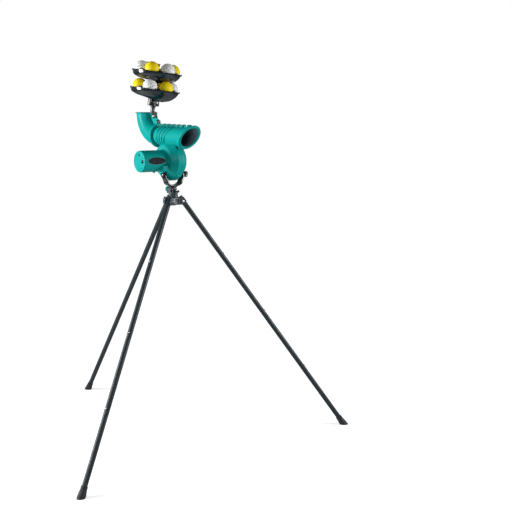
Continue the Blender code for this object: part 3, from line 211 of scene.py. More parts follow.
# Wheel, motor and switch
TYRE_R = 0.086
TYRE_DISH = 0.0025
TYRE_HALF = 0.0180
TYRE_INNER_R = 0.0640
SHAFT_R = 0.006
SHAFT_LEFT_END = 0.0413
BEARING_R = 0.0160
BEARING_IN = 0.0350
CASE_R = 0.051
CASE_WALL = 0.004
CASE_END = 0.163
END_CAP = 0.012
CAP_POCKETS = ((0.0, 0.030, 0.0058), (0.0, -0.033, 0.0024), (0.022, -0.033, 0.0024))  # x, z and radius
CAP_POCKET = 0.006
SOCKET_R = 0.0085
SOCKET_WALL = 0.0013
SOCKET_PIN_R = 0.0011
SOCKET_PIN_X = 0.0028
SOCKET_X = 0.028
TOGGLE_Y = 0.095
TOGGLE_R = 0.0028
TOGGLE_LENGTH = 0.012
BUSH_R = 0.0052
SWITCH_BOSS = 0.0025
TOGGLE_HOLE_R = 0.0041
NUT_THICK = 0.0020
CASE_FLARE = 0.0030     # foot of the case against the drum
BADGE_Y = -0.1080       # middle of the oval plate on the motor case
BADGE_TURN = math.radians(4.5)      # its place round the case, up from +X
BADGE_HALF = (0.0470, 0.0178)
BADGE_THICK = 0.0011
BADGE_EDGE = 0.0008
BADGE_ROOT = 0.001

# Feed elbow
BEND_START = -0.130
BEND = 0.107
ELBOW_X = BEND_START - BEND
ELBOW_TOP = BARREL_Z + BEND
ELBOW_R = 0.0470
ELBOW_LIP_R = 0.053
ELBOW_LIP = 0.003
COLLAR_R = 0.0580
COLLAR_BACK = -0.132
COLLAR_FRONT = -0.110
WEB_HALF = 0.004
CLAMP_X = -0.1170
CLAMP_UP = 0.0668
CLAMP_R = 0.0028
CLAMP_KNOB_R = 0.0080
CLAMP_KNOB = 0.0115

# Ball carousel
FEEDER_X = BEND_START - 0.026
FEEDER_Z = ELBOW_TOP - 0.014
FOOT_BOLT_R = 0.0035
FOOT_BOLT_HEAD_R = 0.0056
FOOT_BOLT_HEAD = 0.004
FOOT_NUT_R = 0.0058
FOOT_CHEEK = 0.006
FOOT_EYE_R = 0.0108
FOOT_TOP = 0.021
POST_R = 0.0105
POST_COLLAR = 0.004
POST_LOW = -0.088
SLOT_R = 0.076
SLOT_TURN = 8.0
HOPPER_Z = ELBOW_TOP + 0.0865
HOPPER_LEAN = math.radians(7.0)
HOPPER_LEAN_AZIMUTH = math.radians(55.0)
TIER = 0.084
TRAY_R = SLOT_R + 0.041
TRAY_WALL = 0.0028
TRAY_RIM = 0.0285
TRAY_DEPTH = 0.046
TRAY_SHIFT = 0.024
TRAY_RINGS = ((-0.0002, 0.0010), (0.0015, 0.0110), (0.0080, 0.0240), (0.0230, 0.0365), (0.0520, TRAY_DEPTH))
TROUGH_R = BALL_R + 0.0023
DROP_HOLE_R = BALL_R + 0.0011
SHAFT2_R = 0.005
COLUMN_R = 0.0095
SLEEVE_R = 0.0130
COLUMN_FLANGE_R = 0.026
COLUMN_FLANGE = 0.003
GEARBOX_HALF = 0.0300
GEARBOX_R = 0.0165
GEARBOX_HEIGHT = 0.039
FLUTE_R = 0.0016
TRAY_PAD = 0.0130
UPPER_SEAT = -COLUMN_FLANGE - 0.006     # underside of the upper tray's floor, from its level
# Level, lean in degrees and azimuth of the hole where a ball drops
TRAYS = {"lower_tray": (0.0, 11.0, 180.0), "upper_tray": (TIER, 9.0, SLOT_TURN + 120.0)}
SLOTS = 6
ROTOR_HUB_R = 0.0300
ROTOR_SHOULDER = 0.0360
ROTOR_TOP = 0.0425
UPPER_ROTOR_TOP = 0.0440
ROTOR_ARM = 0.0026
ROTOR_REACH = SLOT_R + 0.030
CAP_R = 0.0118
CAP_TOP = 0.0664
RIM_LUGS = (56.0, 236.0)
BALL_PITCH = 0.0125     # between marks round a ball
BALL_SLANT = 55.0
BALL_ROWS = (-62, -37, -12, 12, 37, 62)
SLIT_HALF = 0.0026
SLIT_R = 0.0017
DIMPLE_R = 0.004
DIMPLE_DEPTH = 0.0006

# Stage
FLOOR_R = 9.0
FLOOR_GLOW = 0.62       # floor's own white where it keeps the shadow
FLOOR_FADE = (0.9, 3.0)  # radii between which it turns white
WORLD_LIGHT = 0.05
WORLD_MIRRORED = 0.14
LAMP_TARGET_Z = 1.3
# Name, azimuth, elevation, distance, size and power
LAMPS = (("left_softbox", -118.0, 6.0, 2.8, (1.0, 1.5), 112.0),
         ("right_softbox", 46.0, 8.0, 2.8, (1.0, 1.4), 62.0),
         ("front_softbox", -52.0, 12.0, 3.4, (1.0, 1.0), 23.0))
CAMERA_AZIMUTH = -33.9
CAMERA_REACH = 4.539
CAMERA_HEIGHT = 1.638
CAMERA_FOCAL = 943.8    # in pixels of the frame
CAMERA_FRAME = 512.0
CAMERA_SENSOR = 36.0
CAMERA_YAW = -5.07
CAMERA_PITCH = -9.35
CAMERA_ROLL = 0.68

# Derived places
TRIPOD_X = FOOT_R / 4
LEG_LEAN = math.atan2(FOOT_R - PIVOT_R, PIVOT_Z)
LEG_LENGTH = math.hypot(FOOT_R - PIVOT_R, PIVOT_Z)
SECTION_LENGTH = LEG_LENGTH / SECTIONS
HUB_BOTTOM = PIVOT_Z - HUB_DROP
HUB_TOP = PIVOT_Z + HUB_RISE
LUG_TOP = PIVOT_Z + LUG_RISE
LUG_HALF = TUBE_R + GAP + CHEEK
CORE_R = PIVOT_R - LEG_TOP * math.sin(LEG_LEAN) - TUBE_R * math.cos(LEG_LEAN) - GAP
ROLL_Z = HUB_TOP + ROLL_UP
STEM_FACE = STEM_HALF + GAP
ROLL_FRONT = STEM_FACE + FRONT_EAR + GAP
ROLL_REAR = STEM_FACE + REAR_EAR + GAP
FORK_LOW = TILT_Z - FORK_BEND - FORK_OUTER_DROP
BOSS_FACE = FORK_INNER_R - GAP
CASE_INNER_R = CASE_R - CASE_WALL
SWITCH_FACE = CASE_R + SWITCH_BOSS
CAP_LOW = CASE_END + GAP
CAP_HIGH = CAP_LOW + END_CAP
CLAMP_Z = BARREL_Z + CLAMP_UP
FOOT_HALF = WEB_HALF + GAP + FOOT_CHEEK
HOPPER_X = ELBOW_X + SLOT_R
X_AXIS = (1, 0, 0)
Y_AXIS = (0, 1, 0)
RIGHT = (0, -1, 0)
ALONG_X = Matrix.Rotation(math.pi / 2, 4, "Z") @ Matrix.Rotation(math.pi / 2, 4, "X")
ALONG_Y = Matrix.Rotation(math.pi / 2, 4, "X")
Z_TO_X = Matrix.Rotation(math.pi / 2, 4, "Y")


def shift(x=0.0, y=0.0, z=0.0):
    return Matrix.Translation((x, y, z))


def turn_z(degrees):
    return Matrix.Rotation(math.radians(degrees), 4, "Z")


def polar(radius, degrees):
    turn = math.radians(degrees)
    return radius * math.cos(turn), radius * math.sin(turn)


def at(x=0.0, y=0.0, z=0.0, axis=(0, 0, 1), spin=0.0):
    """Place of a shape that was made along Z, measured from the tripod's axis."""
    turn = Vector((0, 0, 1)).rotation_difference(Vector(axis)).to_matrix().to_4x4()
    return shift(TRIPOD_X + x, y, z) @ turn @ Matrix.Rotation(spin, 4, "Z")


TRIPOD = at()
AXLE = at(WHEEL_X, 0, WHEEL_Z, RIGHT)
SWITCH = shift(z=TOGGLE_Y) @ ALONG_Y       # on the axle
HOPPER_UP = (math.sin(HOPPER_LEAN) * math.cos(HOPPER_LEAN_AZIMUTH),
             math.sin(HOPPER_LEAN) * math.sin(HOPPER_LEAN_AZIMUTH), math.cos(HOPPER_LEAN))
HOPPER = at(HOPPER_X, 0, HOPPER_Z, HOPPER_UP)


def leg_place(azimuth):
    """Origin on the leg's pivot, -Z down the leg, +X outward and up, Y along the pivot bolt."""
    turn = math.radians(azimuth)
    out = Vector((math.cos(turn), math.sin(turn), 0.0))
    along = (Vector((0, 0, PIVOT_Z)) - out * (FOOT_R - PIVOT_R)).normalized()
    side = Vector((0, 0, 1)).cross(out)
    face = side.cross(along)
    axes = Matrix((face, side, along)).transposed().to_4x4()
    return TRIPOD @ Matrix.Translation(out * PIVOT_R + Vector((0, 0, PIVOT_Z))) @ axes


# Materials

def new_material(name):
    mat = bpy.data.materials.new(name)
    mat.use_nodes = True
    return mat, mat.node_tree, mat.node_tree.nodes["Principled BSDF"]


def noise(tree, scale, detail=3.0, stretch=None):
    """Noise over the object's own place, as a value from 0 to 1."""
    place = tree.nodes.new("ShaderNodeTexCoord")
    node = tree.nodes.new("ShaderNodeTexNoise")
    node.inputs["Scale"].default_value = scale
    node.inputs["Detail"].default_value = detail
    source = place.outputs["Object"]
    if stretch:
        mapping = tree.nodes.new("ShaderNodeMapping")
        mapping.inputs["Scale"].default_value = stretch
        tree.links.new(source, mapping.inputs["Vector"])
        source = mapping.outputs["Vector"]
    tree.links.new(source, node.inputs["Vector"])
    return node.outputs["Fac"]


def ramp(tree, value, low, high, place=(0.35, 0.65)):
    node = tree.nodes.new("ShaderNodeValToRGB")
    for element, colour, where in zip(node.color_ramp.elements, (low, high), place):
        element.color = (*colour, 1.0) if hasattr(colour, "__len__") else (colour, colour, colour, 1.0)
        element.position = where
    tree.links.new(value, node.inputs["Fac"])
    return node.outputs["Color"]


def maths(tree, operation, first, second):
    """Output of a math node on an output and another output or a number."""
    node = tree.nodes.new("ShaderNodeMath")
    node.operation = operation
    tree.links.new(first, node.inputs[0])
    if isinstance(second, float):
        node.inputs[1].default_value = second
    else:
        tree.links.new(second, node.inputs[1])
    return node.outputs["Value"]


def bump(tree, shader, value, strength, distance=0.001):
    node = tree.nodes.new("ShaderNodeBump")
    node.inputs["Strength"].default_value = strength
    node.inputs["Distance"].default_value = distance
    tree.links.new(value, node.inputs["Height"])
    tree.links.new(node.outputs["Normal"], shader.inputs["Normal"])


def edge_wear(tree, colour, worn, amount):
    """Mix a worn colour in along outer edges, broken up by noise."""
    geometry = tree.nodes.new("ShaderNodeNewGeometry")
    edges = ramp(tree, geometry.outputs["Pointiness"], 0.0, 1.0, (0.53, 0.60))
    patches = ramp(tree, noise(tree, 180.0), 0.0, amount, (0.45, 0.65))
    mix = tree.nodes.new("ShaderNodeMix")
    mix.data_type = "RGBA"
    under, over, result = mix.inputs[6], mix.inputs[7], mix.outputs[2]      # its colour sockets
    tree.links.new(maths(tree, "MULTIPLY", edges, patches), mix.inputs["Factor"])
    tree.links.new(colour, under)
    over.default_value = (*worn, 1.0)
    return result


def surface(name, colour, darker, roughness, metallic=0.0, grain=(1400.0, 0.10), wear=None, coat=0.0,
            stretch=None, specular=0.5):
    """Finish with slight mottling, uneven gloss, a fine surface grain and, if asked, worn edges."""
    mat, tree, shader = new_material(name)
    mottled = ramp(tree, noise(tree, 22.0, 4.0), darker, colour)
    if wear:
        mottled = edge_wear(tree, mottled, *wear)
    tree.links.new(mottled, shader.inputs["Base Color"])
    uneven = ramp(tree, noise(tree, 60.0, 5.0, stretch), roughness * 0.85, roughness * 1.2)
    tree.links.new(uneven, shader.inputs["Roughness"])
    shader.inputs["Metallic"].default_value = metallic
    shader.inputs["Coat Weight"].default_value = coat
    shader.inputs["Coat Roughness"].default_value = 0.08
    shader.inputs["Specular IOR Level"].default_value = specular
    scale, strength = grain
    bump(tree, shader, noise(tree, scale, 2.0, stretch), strength, 0.0004)
    return mat


MATERIALS = {
    "green_plastic": surface("green_plastic", (0.002, 0.350, 0.325), (0.001, 0.315, 0.292), 0.34,
                             specular=0.10, wear=((0.02, 0.50, 0.47), 0.4)),
    "black_plastic": surface("black_plastic", (0.011, 0.017, 0.022), (0.008, 0.012, 0.017), 0.16, coat=0.5),
    "plate_film": surface("plate_film", (0.012, 0.016, 0.019), (0.010, 0.013, 0.016), 0.55, specular=0.1),
    "slate_enamel": surface("slate_enamel", (0.014, 0.026, 0.033), (0.012, 0.023, 0.030), 0.42,
                            grain=(900.0, 0.01), specular=0.4),
    "grey_casting": surface("grey_casting", (0.048, 0.068, 0.080), (0.034, 0.050, 0.060), 0.36,
                            grain=(650.0, 0.25), wear=((0.22, 0.26, 0.28), 0.7)),
    # Painted shade: a dark colour for the shaded insides of the bore, the elbow and the balls' slits
    "painted_bore_shade": surface("painted_bore_shade", (0.130, 0.180, 0.220), (0.110, 0.155, 0.190), 0.55, specular=0.2),
    "bright_steel": surface("bright_steel", (0.66, 0.68, 0.70), (0.56, 0.58, 0.60), 0.24, 1.0, (500.0, 0.05),
                            stretch=(1.0, 1.0, 18.0)),
    "boot_rubber": surface("boot_rubber", (0.018, 0.021, 0.025), (0.012, 0.014, 0.017), 0.62,
                           grain=(420.0, 0.35)),
    "wheel_urethane": surface("wheel_urethane", (0.045, 0.046, 0.048), (0.030, 0.031, 0.033), 0.55,
                              grain=(300.0, 0.25)),
    "white_ball": surface("white_ball", (0.94, 0.96, 0.94), (0.91, 0.94, 0.92), 0.42, grain=(700.0, 0.08),
                          specular=0.3),
    "yellow_ball": surface("yellow_ball", (1.0, 0.78, 0.004), (1.0, 0.74, 0.004), 0.42, grain=(700.0, 0.08),
                           specular=0.25),
}


# Meshes

def cleaned(mesh):
    bm = bmesh.new()
    bm.from_mesh(mesh)
    bmesh.ops.remove_doubles(bm, verts=bm.verts, dist=MERGE)
    bmesh.ops.recalc_face_normals(bm, faces=bm.faces)
    bm.to_mesh(mesh)
    bm.free()
    return mesh


def mesh_of(verts, faces):
    mesh = bpy.data.meshes.new("shape")
    mesh.from_pydata([tuple(vert) for vert in verts], [], faces)
    return cleaned(mesh)


def mesh_from(bm, name):
    mesh = bpy.data.meshes.new(name)
    bm.to_mesh(mesh)
    bm.free()
    return mesh


def linked(name, data):
    """A new object in the scene."""
    obj = bpy.data.objects.new(name, data)
    bpy.context.scene.collection.objects.link(obj)
    return obj


def baked(obj, *others):
    """The evaluated mesh of an object; it and its helpers are then removed."""
    graph = bpy.context.evaluated_depsgraph_get()
    graph.update()
    mesh = bpy.data.meshes.new_from_object(obj.evaluated_get(graph))
    for thing in (obj, *others):
        bpy.data.objects.remove(thing, do_unlink=True)
    return cleaned(mesh)


def rounded(points, steps=4):
    """Points (u, v) or (u, v, radius), with a curve of that radius in place of the corner."""
    result = []
    count = len(points)
    for k, point in enumerate(points):
        corner = Vector(point[:2])
        radius = point[2] if len(point) > 2 else 0.0
        if not radius:
            result.append(tuple(corner))
            continue
        before = Vector(points[k - 1][:2]) - corner
        after = Vector(points[(k + 1) % count][:2]) - corner
        longest = 0.49 * min(before.length, after.length)
        reach = min(radius / math.tan(before.angle(after) / 2), longest)
        start = corner + before.normalized() * reach
        end = corner + after.normalized() * reach
        for j in range(steps + 1):
            t = j / steps
            result.append(tuple(start * (1 - t) ** 2 + corner * 2 * t * (1 - t) + end * t ** 2))
    return result


def loft(rings, loop=False):
    """A solid through rings of points with one count; a loop joins the last ring to the first."""
    count = len(rings[0])
    verts = [point for ring in rings for point in ring]
    faces = []
    for k in range(len(rings) if loop else len(rings) - 1):
        low = k * count
        high = (k + 1) % len(rings) * count
        for j in range(count):
            i = (j + 1) % count
            faces.append((low + j, low + i, high + i, high + j))
    if not loop:
        faces.append(tuple(reversed(range(count))))
        faces.append(tuple(range(len(verts) - count, len(verts))))
    return mesh_of(verts, faces)


def circle_points(radius, count, height=0.0):
    return [(radius * math.cos(2 * math.pi * j / count), radius * math.sin(2 * math.pi * j / count), height)
            for j in range(count)]


def turned(profile, sides=SMALL, ring=False):
    """Turn (radius, height[, corner radius]) points about Z: a ring, or a solid that is flat at its ends."""
    if not ring:
        profile = [(0, profile[0][1]), *profile, (0, profile[-1][1])]
    return loft([circle_points(r, sides, z) for r, z in rounded(profile) if r > MERGE], loop=ring)


def rod(radius, low, high, sides=SMALL, edge=0.0):
    return turned([(radius, low, edge), (radius, high, edge)], sides)


def slab(outline, low, high, edge=0.0):
    """A flat outline in XY, from low to high along Z, with rounded edges."""
    curve = bpy.data.curves.new("outline", "CURVE")
    curve.dimensions = "2D"
    curve.fill_mode = "BOTH"
    curve.extrude = (high - low) / 2 - edge
    curve.bevel_depth = edge
    curve.bevel_resolution = 2
    curve.offset = -edge
    spline = curve.splines.new("POLY")
    spline.points.add(len(outline) - 1)
    for point, (x, y) in zip(spline.points, outline):
        point.co = (x, y, 0.0, 1.0)
    spline.use_cyclic_u = True
    return moved(baked(linked("temporary", curve)), shift(z=(low + high) / 2))


def block(low, high):
    bm = bmesh.new()
    bmesh.ops.create_cube(bm, size=1.0)
    low, high = Vector(low), Vector(high)
    bmesh.ops.scale(bm, verts=bm.verts, vec=high - low)
    bmesh.ops.translate(bm, verts=bm.verts, vec=(low + high) / 2)
    return mesh_from(bm, "block")


def moved(mesh, matrix):
    mesh.transform(matrix)
    return mesh


def worked(mesh, joins=(), cuts=()):
    """A mesh joined with and then cut by others."""
    obj = linked("temporary", mesh)
    tools = []
    for operation, tool in [("UNION", tool) for tool in joins] + [("DIFFERENCE", tool) for tool in cuts]:
        tools.append(linked("temporary", tool))
        modifier = obj.modifiers.new("step", "BOOLEAN")
        modifier.operation = operation
        modifier.solver = "EXACT"
        modifier.object = tools[-1]
    return baked(obj, *tools)


def softened(mesh, width, segments=2):
    """A mesh with its sharp edges rounded off."""
    obj = linked("temporary", mesh)
    modifier = obj.modifiers.new("edges", "BEVEL")
    modifier.width = width
    modifier.segments = segments
    modifier.limit_method = "ANGLE"
    modifier.angle_limit = math.radians(35.0)
    modifier.use_clamp_overlap = True
    return baked(obj)


def arc(centre, radius, start, end, steps):
    """Points on an arc, angles in degrees."""
    points = []
    for k in range(steps + 1):
        x, y = polar(radius, start + (end - start) * k / steps)
        points.append((centre[0] + x, centre[1] + y))
    return points


def circle(radius, centre=(0.0, 0.0), sides=SMALL):
    return arc(centre, radius, 0.0, 360.0 - 360.0 / sides, sides - 1)


def lobed(radius, depth, lobes, per_lobe=10):
    """Outline of a hand knob with rounded grips."""
    points = []
    for k in range(lobes * per_lobe):
        angle = 2 * math.pi * k / (lobes * per_lobe)
        wave = radius - depth * ((1 - math.cos(lobes * angle)) / 2) ** 2
        points.append((wave * math.cos(angle), wave * math.sin(angle)))
    return points


def piece(name, mesh, node, matrix=None, paint=None, instead=False, sharp=32.0):
    """Show a mesh on a CAD node's body; instead of the node, or as a detail on it."""
    if matrix:
        mesh.transform(matrix)
    slot = paint or SLOT_OF[node]
    mesh.materials.clear()
    mesh.materials.append(MATERIALS[slot])
    mesh.shade_smooth()
    mesh.set_sharp_from_angle(angle=math.radians(sharp))
    obj = linked(name, mesh)
    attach(obj, frame["nodes"][node]["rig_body"])
    if instead:
        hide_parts(node)
    return obj


def skin(node, mesh, matrix=None, **options):
    """A detailed piece that stands for a CAD node."""
    return piece(node + "_skin", mesh, node, matrix, instead=True, **options)


def slab_x(outline, low, high, edge=0.0):
    """A slab from (y, z) points, between two places along X."""
    return moved(slab(outline, low, high, edge), ALONG_X)


def slab_y(outline, low, high, edge=0.0):
    """A slab from (x, z) points, between two places along Y."""
    return moved(slab(outline, -high, -low, edge), ALONG_Y)


def screw_head(radius, height):
    """Domed head with a cross recess."""
    head = turned([(radius, -0.001), (radius, height * 0.35, height * 0.3),
                   (radius * 0.55, height * 0.95, height), (0, height)], TINY)
    long, thin = radius * 0.62, radius * 0.14
    return worked(head, cuts=[block((-x, -y, height * 0.3), (x, y, height * 2))
                              for x, y in ((long, thin), (thin, long))])


def hex_outline(half_width):
    return circle(half_width / math.cos(math.pi / 6), sides=6)


# Tripod

def leg_sections():
    """The four tubes of a leg, in the leg's own place, with holes for the snap buttons."""
    inner = TUBE_R - TUBE_WALL
    spigot = inner - GAP
    spigot_in = spigot - TUBE_WALL
    tube_end = BOOT_SOLE_THICK - LEG_LENGTH
    edge = 0.0008
    tubes = []
    for k in range(SECTIONS):
        top = LEG_TOP if k == 0 else -SECTION_LENGTH * k - GAP
        bottom = tube_end if k == SECTIONS - 1 else -SECTION_LENGTH * (k + 1)
        outside = [(TUBE_R, top, edge), (TUBE_R, bottom, edge), (inner, bottom)]
        if k == 0:
            profile = outside + [(inner, top)]
        else:
            profile = [(spigot, top + SPIGOT, 0.0005), (spigot, top), *outside, (inner, top - TUBE_WALL),
                       (spigot_in, top), (spigot_in, top + SPIGOT)]
        holes = []
        if k < SECTIONS - 1:
            hole = rod(BUTTON_R + BUTTON_PLAY, 0.0, TUBE_R * 1.5, 20)
            holes.append(moved(hole, shift(z=BUTTON_UP - SECTION_LENGTH * (k + 1)) @ Z_TO_X))
        tubes.append(worked(turned(profile, TUBE, ring=True), cuts=holes))
    return tubes


def snap_button():
    top = TUBE_R + BUTTON_PROUD
    return turned([(BUTTON_R, TUBE_R - 0.004), (BUTTON_R, top - 0.0008, 0.0016),
                   (BUTTON_R * 0.4, top, 0.0012)], 20)


def leg_plug():
    """Cap pressed into a leg's upper end."""
    inner = TUBE_R - TUBE_WALL
    outer = TUBE_R - 0.0006
    return turned([(inner, LEG_TOP - PLUG_IN), (inner, LEG_TOP), (outer, LEG_TOP),
                   (outer, LEG_TOP + 0.0010, 0.0008), (0, LEG_TOP + PLUG_RISE)])


def boot_mesh(matrix):
    """Flared rubber boot with grooves round its upper end, cut level with the ground."""
    tube_end = BOOT_SOLE_THICK - LEG_LENGTH
    top = tube_end + BOOT_LENGTH - BOOT_SOLE_THICK
    flare = (BOOT_SOLE_R - BOOT_TOP_R) / 3
    inner = TUBE_R + GAP
    groove_r = BOOT_TOP_R - BOOT_GROOVE
    profile = [(inner, tube_end), (inner, top), (BOOT_TOP_R, top, 0.0010)]
    for k in range(1, BOOT_GROOVES + 1):
        high = top - BOOT_GROOVE_PITCH * k
        low = high - BOOT_GROOVE_WIDTH
        for radius, z in ((BOOT_TOP_R, high), (groove_r, high - BOOT_GROOVE_EDGE),
                          (groove_r, low + BOOT_GROOVE_EDGE), (BOOT_TOP_R, low)):
            profile.append((radius, z, BOOT_GROOVE_EDGE))
    profile += [(BOOT_TOP_R + flare * 0.6, (top + tube_end) / 2 - 0.004, 0.02),
                (BOOT_TOP_R + flare * 2, tube_end, 0.02), (BOOT_SOLE_R, -LEG_LENGTH, 0.004),
                (BOOT_SOLE_R, -LEG_LENGTH - BOOT_SOLE_R)]
    return worked(moved(turned(profile, TUBE), matrix), cuts=[block((-2, -2, -1), (2, 2, 0))])


def bolt_mesh():
    """Pivot bolt: domed head with a hexagon socket, and a nut on the far end."""
    face = LUG_HALF + GAP
    top = face + BOLT_HEAD
    end = GAP - top
    head = turned([(BOLT_R, 0), (BOLT_R, face), (BOLT_HEAD_R, face),
                   (BOLT_HEAD_R, face + BOLT_HEAD * 0.5, 0.002), (BOLT_HEAD_R * 0.6, top, 0.002)], TINY)
    head = worked(head, cuts=[slab(hex_outline(BOLT_SOCKET), top - BOLT_SOCKET, top + OVER)])
    nut = slab(hex_outline(BOLT_HEAD_R * 0.86), end, -face, 0.0005)
    return worked(head, joins=[rod(BOLT_R, end, 0.0005, TINY, 0.0004), nut])


def make_legs():
    tubes = leg_sections()
    for name, azimuth in LEG_AZIMUTHS.items():
        matrix = leg_place(azimuth)
        for k, tube in enumerate(tubes):
            section = f"{name}_section_{k + 1}"
            skin(section, tube.copy(), matrix)
            if k:
                up = matrix @ shift(z=BUTTON_UP - SECTION_LENGTH * k)
                piece(f"{name}_button_{k}", snap_button(), section, up @ Z_TO_X, "bright_steel")
        piece(name + "_plug", leg_plug(), name + "_section_1", matrix, "black_plastic")
        skin(name + "_boot", boot_mesh(matrix))
        skin(name + "_bolt", bolt_mesh(), matrix @ ALONG_Y)


def make_hub():
    """Casting with a neck on top, three slotted lugs and a hollow in each web between them."""
    corner = math.radians(60)
    waist = (HUB_WEB - LUG_HALF * math.sin(corner)) / math.cos(corner)
    slot_half = TUBE_R + GAP
    hollow, half, up = HUB_POCKET
    corners = []
    cuts = []
    for azimuth in sorted(LEG_AZIMUTHS.values()):
        turn = Matrix.Rotation(math.radians(azimuth), 2)
        for x, y in ((waist, -LUG_HALF), (HUB_REACH, -LUG_HALF), (HUB_REACH, LUG_HALF), (waist, LUG_HALF)):
            corners.append(tuple(turn @ Vector((x, y))))
        trim = block((LUG_EDGE, -0.03, -0.1), (LUG_EDGE + 0.06, 0.03, 0.1))
        slot = block((CORE_R, -slot_half, HUB_BOTTOM - OVER), (HUB_REACH + 0.02, slot_half, HUB_TOP + OVER))
        pocket = block((-HUB_WEB - 0.009, -half, PIVOT_Z - up), (hollow - HUB_WEB, half, PIVOT_Z + up))
        around = TRIPOD @ turn_z(azimuth)
        cuts += [moved(trim, leg_place(azimuth)), moved(slot, around), moved(pocket, around)]
    casting = worked(moved(slab(corners, HUB_BOTTOM, LUG_TOP), TRIPOD), cuts=cuts)
    casting = softened(casting, 0.0014, 3)
    foot_r = HUB_NECK_R + NECK_FOOT
    neck = turned([(HUB_NECK_R, HUB_TOP, 0.0012), (HUB_NECK_R, LUG_TOP + NECK_FOOT), (foot_r, LUG_TOP),
                   (foot_r, LUG_TOP - 0.001)], MIDDLE)
    bore = rod(SPINDLE_R + GAP, HUB_BOTTOM - OVER, HUB_TOP + OVER)
    skin("tripod_hub", worked(casting, joins=[moved(neck, TRIPOD)], cuts=[moved(bore, TRIPOD)]))


def make_spindle():
    """Pin that the head turns on, with a hexagon socket in its lower face."""
    head_low = HUB_BOTTOM - SPINDLE_HEAD
    spindle = turned([(SPINDLE_R, HUB_TOP + SWIVEL_HEIGHT - 0.002, 0.001), (SPINDLE_R, HUB_BOTTOM - GAP),
                      (SPINDLE_HEAD_R, HUB_BOTTOM - GAP), (SPINDLE_HEAD_R, head_low, 0.0015)])
    socket = slab(hex_outline(SPINDLE_SOCKET), head_low - OVER, head_low + 0.0035)
    skin("pan_spindle", worked(spindle, cuts=[socket]), TRIPOD)


def make_swivel():
    """Turntable on the hub with a front and a rear ear for the roll pin."""
    low = HUB_TOP + GAP
    high = low + SWIVEL_HEIGHT
    depth, groove_low, groove_high = SWIVEL_GROOVE
    base = turned([(SWIVEL_R, high, 0.0016), (SWIVEL_R, low + groove_high, 0.0004),
                   (SWIVEL_R - depth, low + groove_high - 0.001, 0.0004),
                   (SWIVEL_R - depth, low + groove_low + 0.001, 0.0004), (SWIVEL_R, low + groove_low, 0.0004),
                   (SWIVEL_R, low, 0.0006)], MIDDLE)
    rear = -STEM_FACE - REAR_EAR
    ears = []
    for thick, near, foot in ((FRONT_EAR, STEM_FACE, high - 0.004), (REAR_EAR, rear, low + groove_high)):
        outline = arc((0, ROLL_Z), EAR_R, 0, 180, 24) + [(-EAR_R, foot), (EAR_R, foot)]
        ears.append(slab_x(outline, near, near + thick, 0.0012))
    skin("swivel_base", worked(base, joins=ears), TRIPOD)
    front = ROLL_FRONT + LEVER_BOSS + LEVER_THICK + 0.0006
    pin = rod(ROLL_PIN_R, -ROLL_REAR - LOCK_KNOB * 0.7, front, TINY, 0.0006)
    skin("roll_pin", pin, at(0, 0, ROLL_Z, X_AXIS))


def make_roll_clamp():
    """Clamp lever in front of the roll pin and the round lock knob behind it."""
    outline = arc((0, 0), LEVER_BOSS_R, 62, 160, 12)
    outline += arc((LEVER_TIP_R - LEVER_TAIL, 0), LEVER_TIP_R, 90, 270, 8)
    outline += arc((0, 0), LEVER_BOSS_R, 200, 298, 12)
    outline += arc((LEVER_WING, 0), LEVER_WING_R, -72, 72, 16)
    low = ROLL_FRONT + LEVER_BOSS
    wing = moved(slab_x(outline, low, low + LEVER_THICK, 0.0017), Matrix.Rotation(LEVER_TURN, 4, "X"))
    boss_r = LEVER_BOSS_R - 0.001
    boss = turned([(boss_r, ROLL_FRONT, 0.0008), (boss_r, low + 0.001)])
    hole = rod(ROLL_PIN_R, 0.0, 0.1)
    lever = worked(wing, joins=[moved(boss, ALONG_X)], cuts=[moved(hole, ALONG_X)])
    skin("roll_clamp_lever", lever, at(0, 0, ROLL_Z))
    end = ROLL_REAR + LOCK_KNOB
    knob = slab(lobed(LOCK_KNOB_R, 0.0006, 18, 8), ROLL_REAR, end, 0.0010)
    dish = turned([(LOCK_KNOB_R * 0.55, end - 0.0016, 0.001), (LOCK_KNOB_R * 0.68, end + 0.001)])
    skin("roll_lock_knob", worked(knob, cuts=[dish]), at(0, 0, ROLL_Z, (-1, 0, 0)))


def fork_half_width(z):
    """Half the fork's depth along X at a height: round at the eyes, widest at the bottom of the U."""
    if z > TILT_Z:
        return math.sqrt(max(FORK_EYE_R ** 2 - (z - TILT_Z) ** 2, 0.0))
    share = min((TILT_Z - z) / (TILT_Z - FORK_LOW - FORK_WIDE_UP), 1.0)
    return FORK_EYE_R + (FORK_BULGE - FORK_EYE_R) * share * share * (3 - 2 * share)


def fork_stations():
    """Inner and outer (y, z) points of the bar's sections, from the top of one eye to the other's."""
    stations = []
    for k in range(9):
        height = TILT_Z + FORK_EYE_R * math.sin(math.radians(88 - 88 * k / 9))
        stations.append(((FORK_INNER_R, height), (FORK_OUTER_R, height)))
    for k, (inner, outer, depth) in enumerate(FORK_ARMS):
        slant = FORK_SLANT * k / len(FORK_ARMS)
        stations.append(((inner, TILT_Z - depth + slant), (outer, TILT_Z - depth - slant)))
    arm_in, arm_out, arm_end = FORK_ARMS[-1]
    high, low = arm_end - FORK_SLANT, arm_end + FORK_SLANT
    for k in range(1, 15):
        y, z = polar(1.0, -90 * k / 14)
        stations.append(((arm_in * y, TILT_Z - high + (FORK_INNER_LOW - high) * z),
                         (arm_out * y, TILT_Z - low + (TILT_Z - FORK_LOW - low) * z)))
    return stations + [((-y0, z0), (-y1, z1)) for (y0, z0), (y1, z1) in reversed(stations[:-1])]


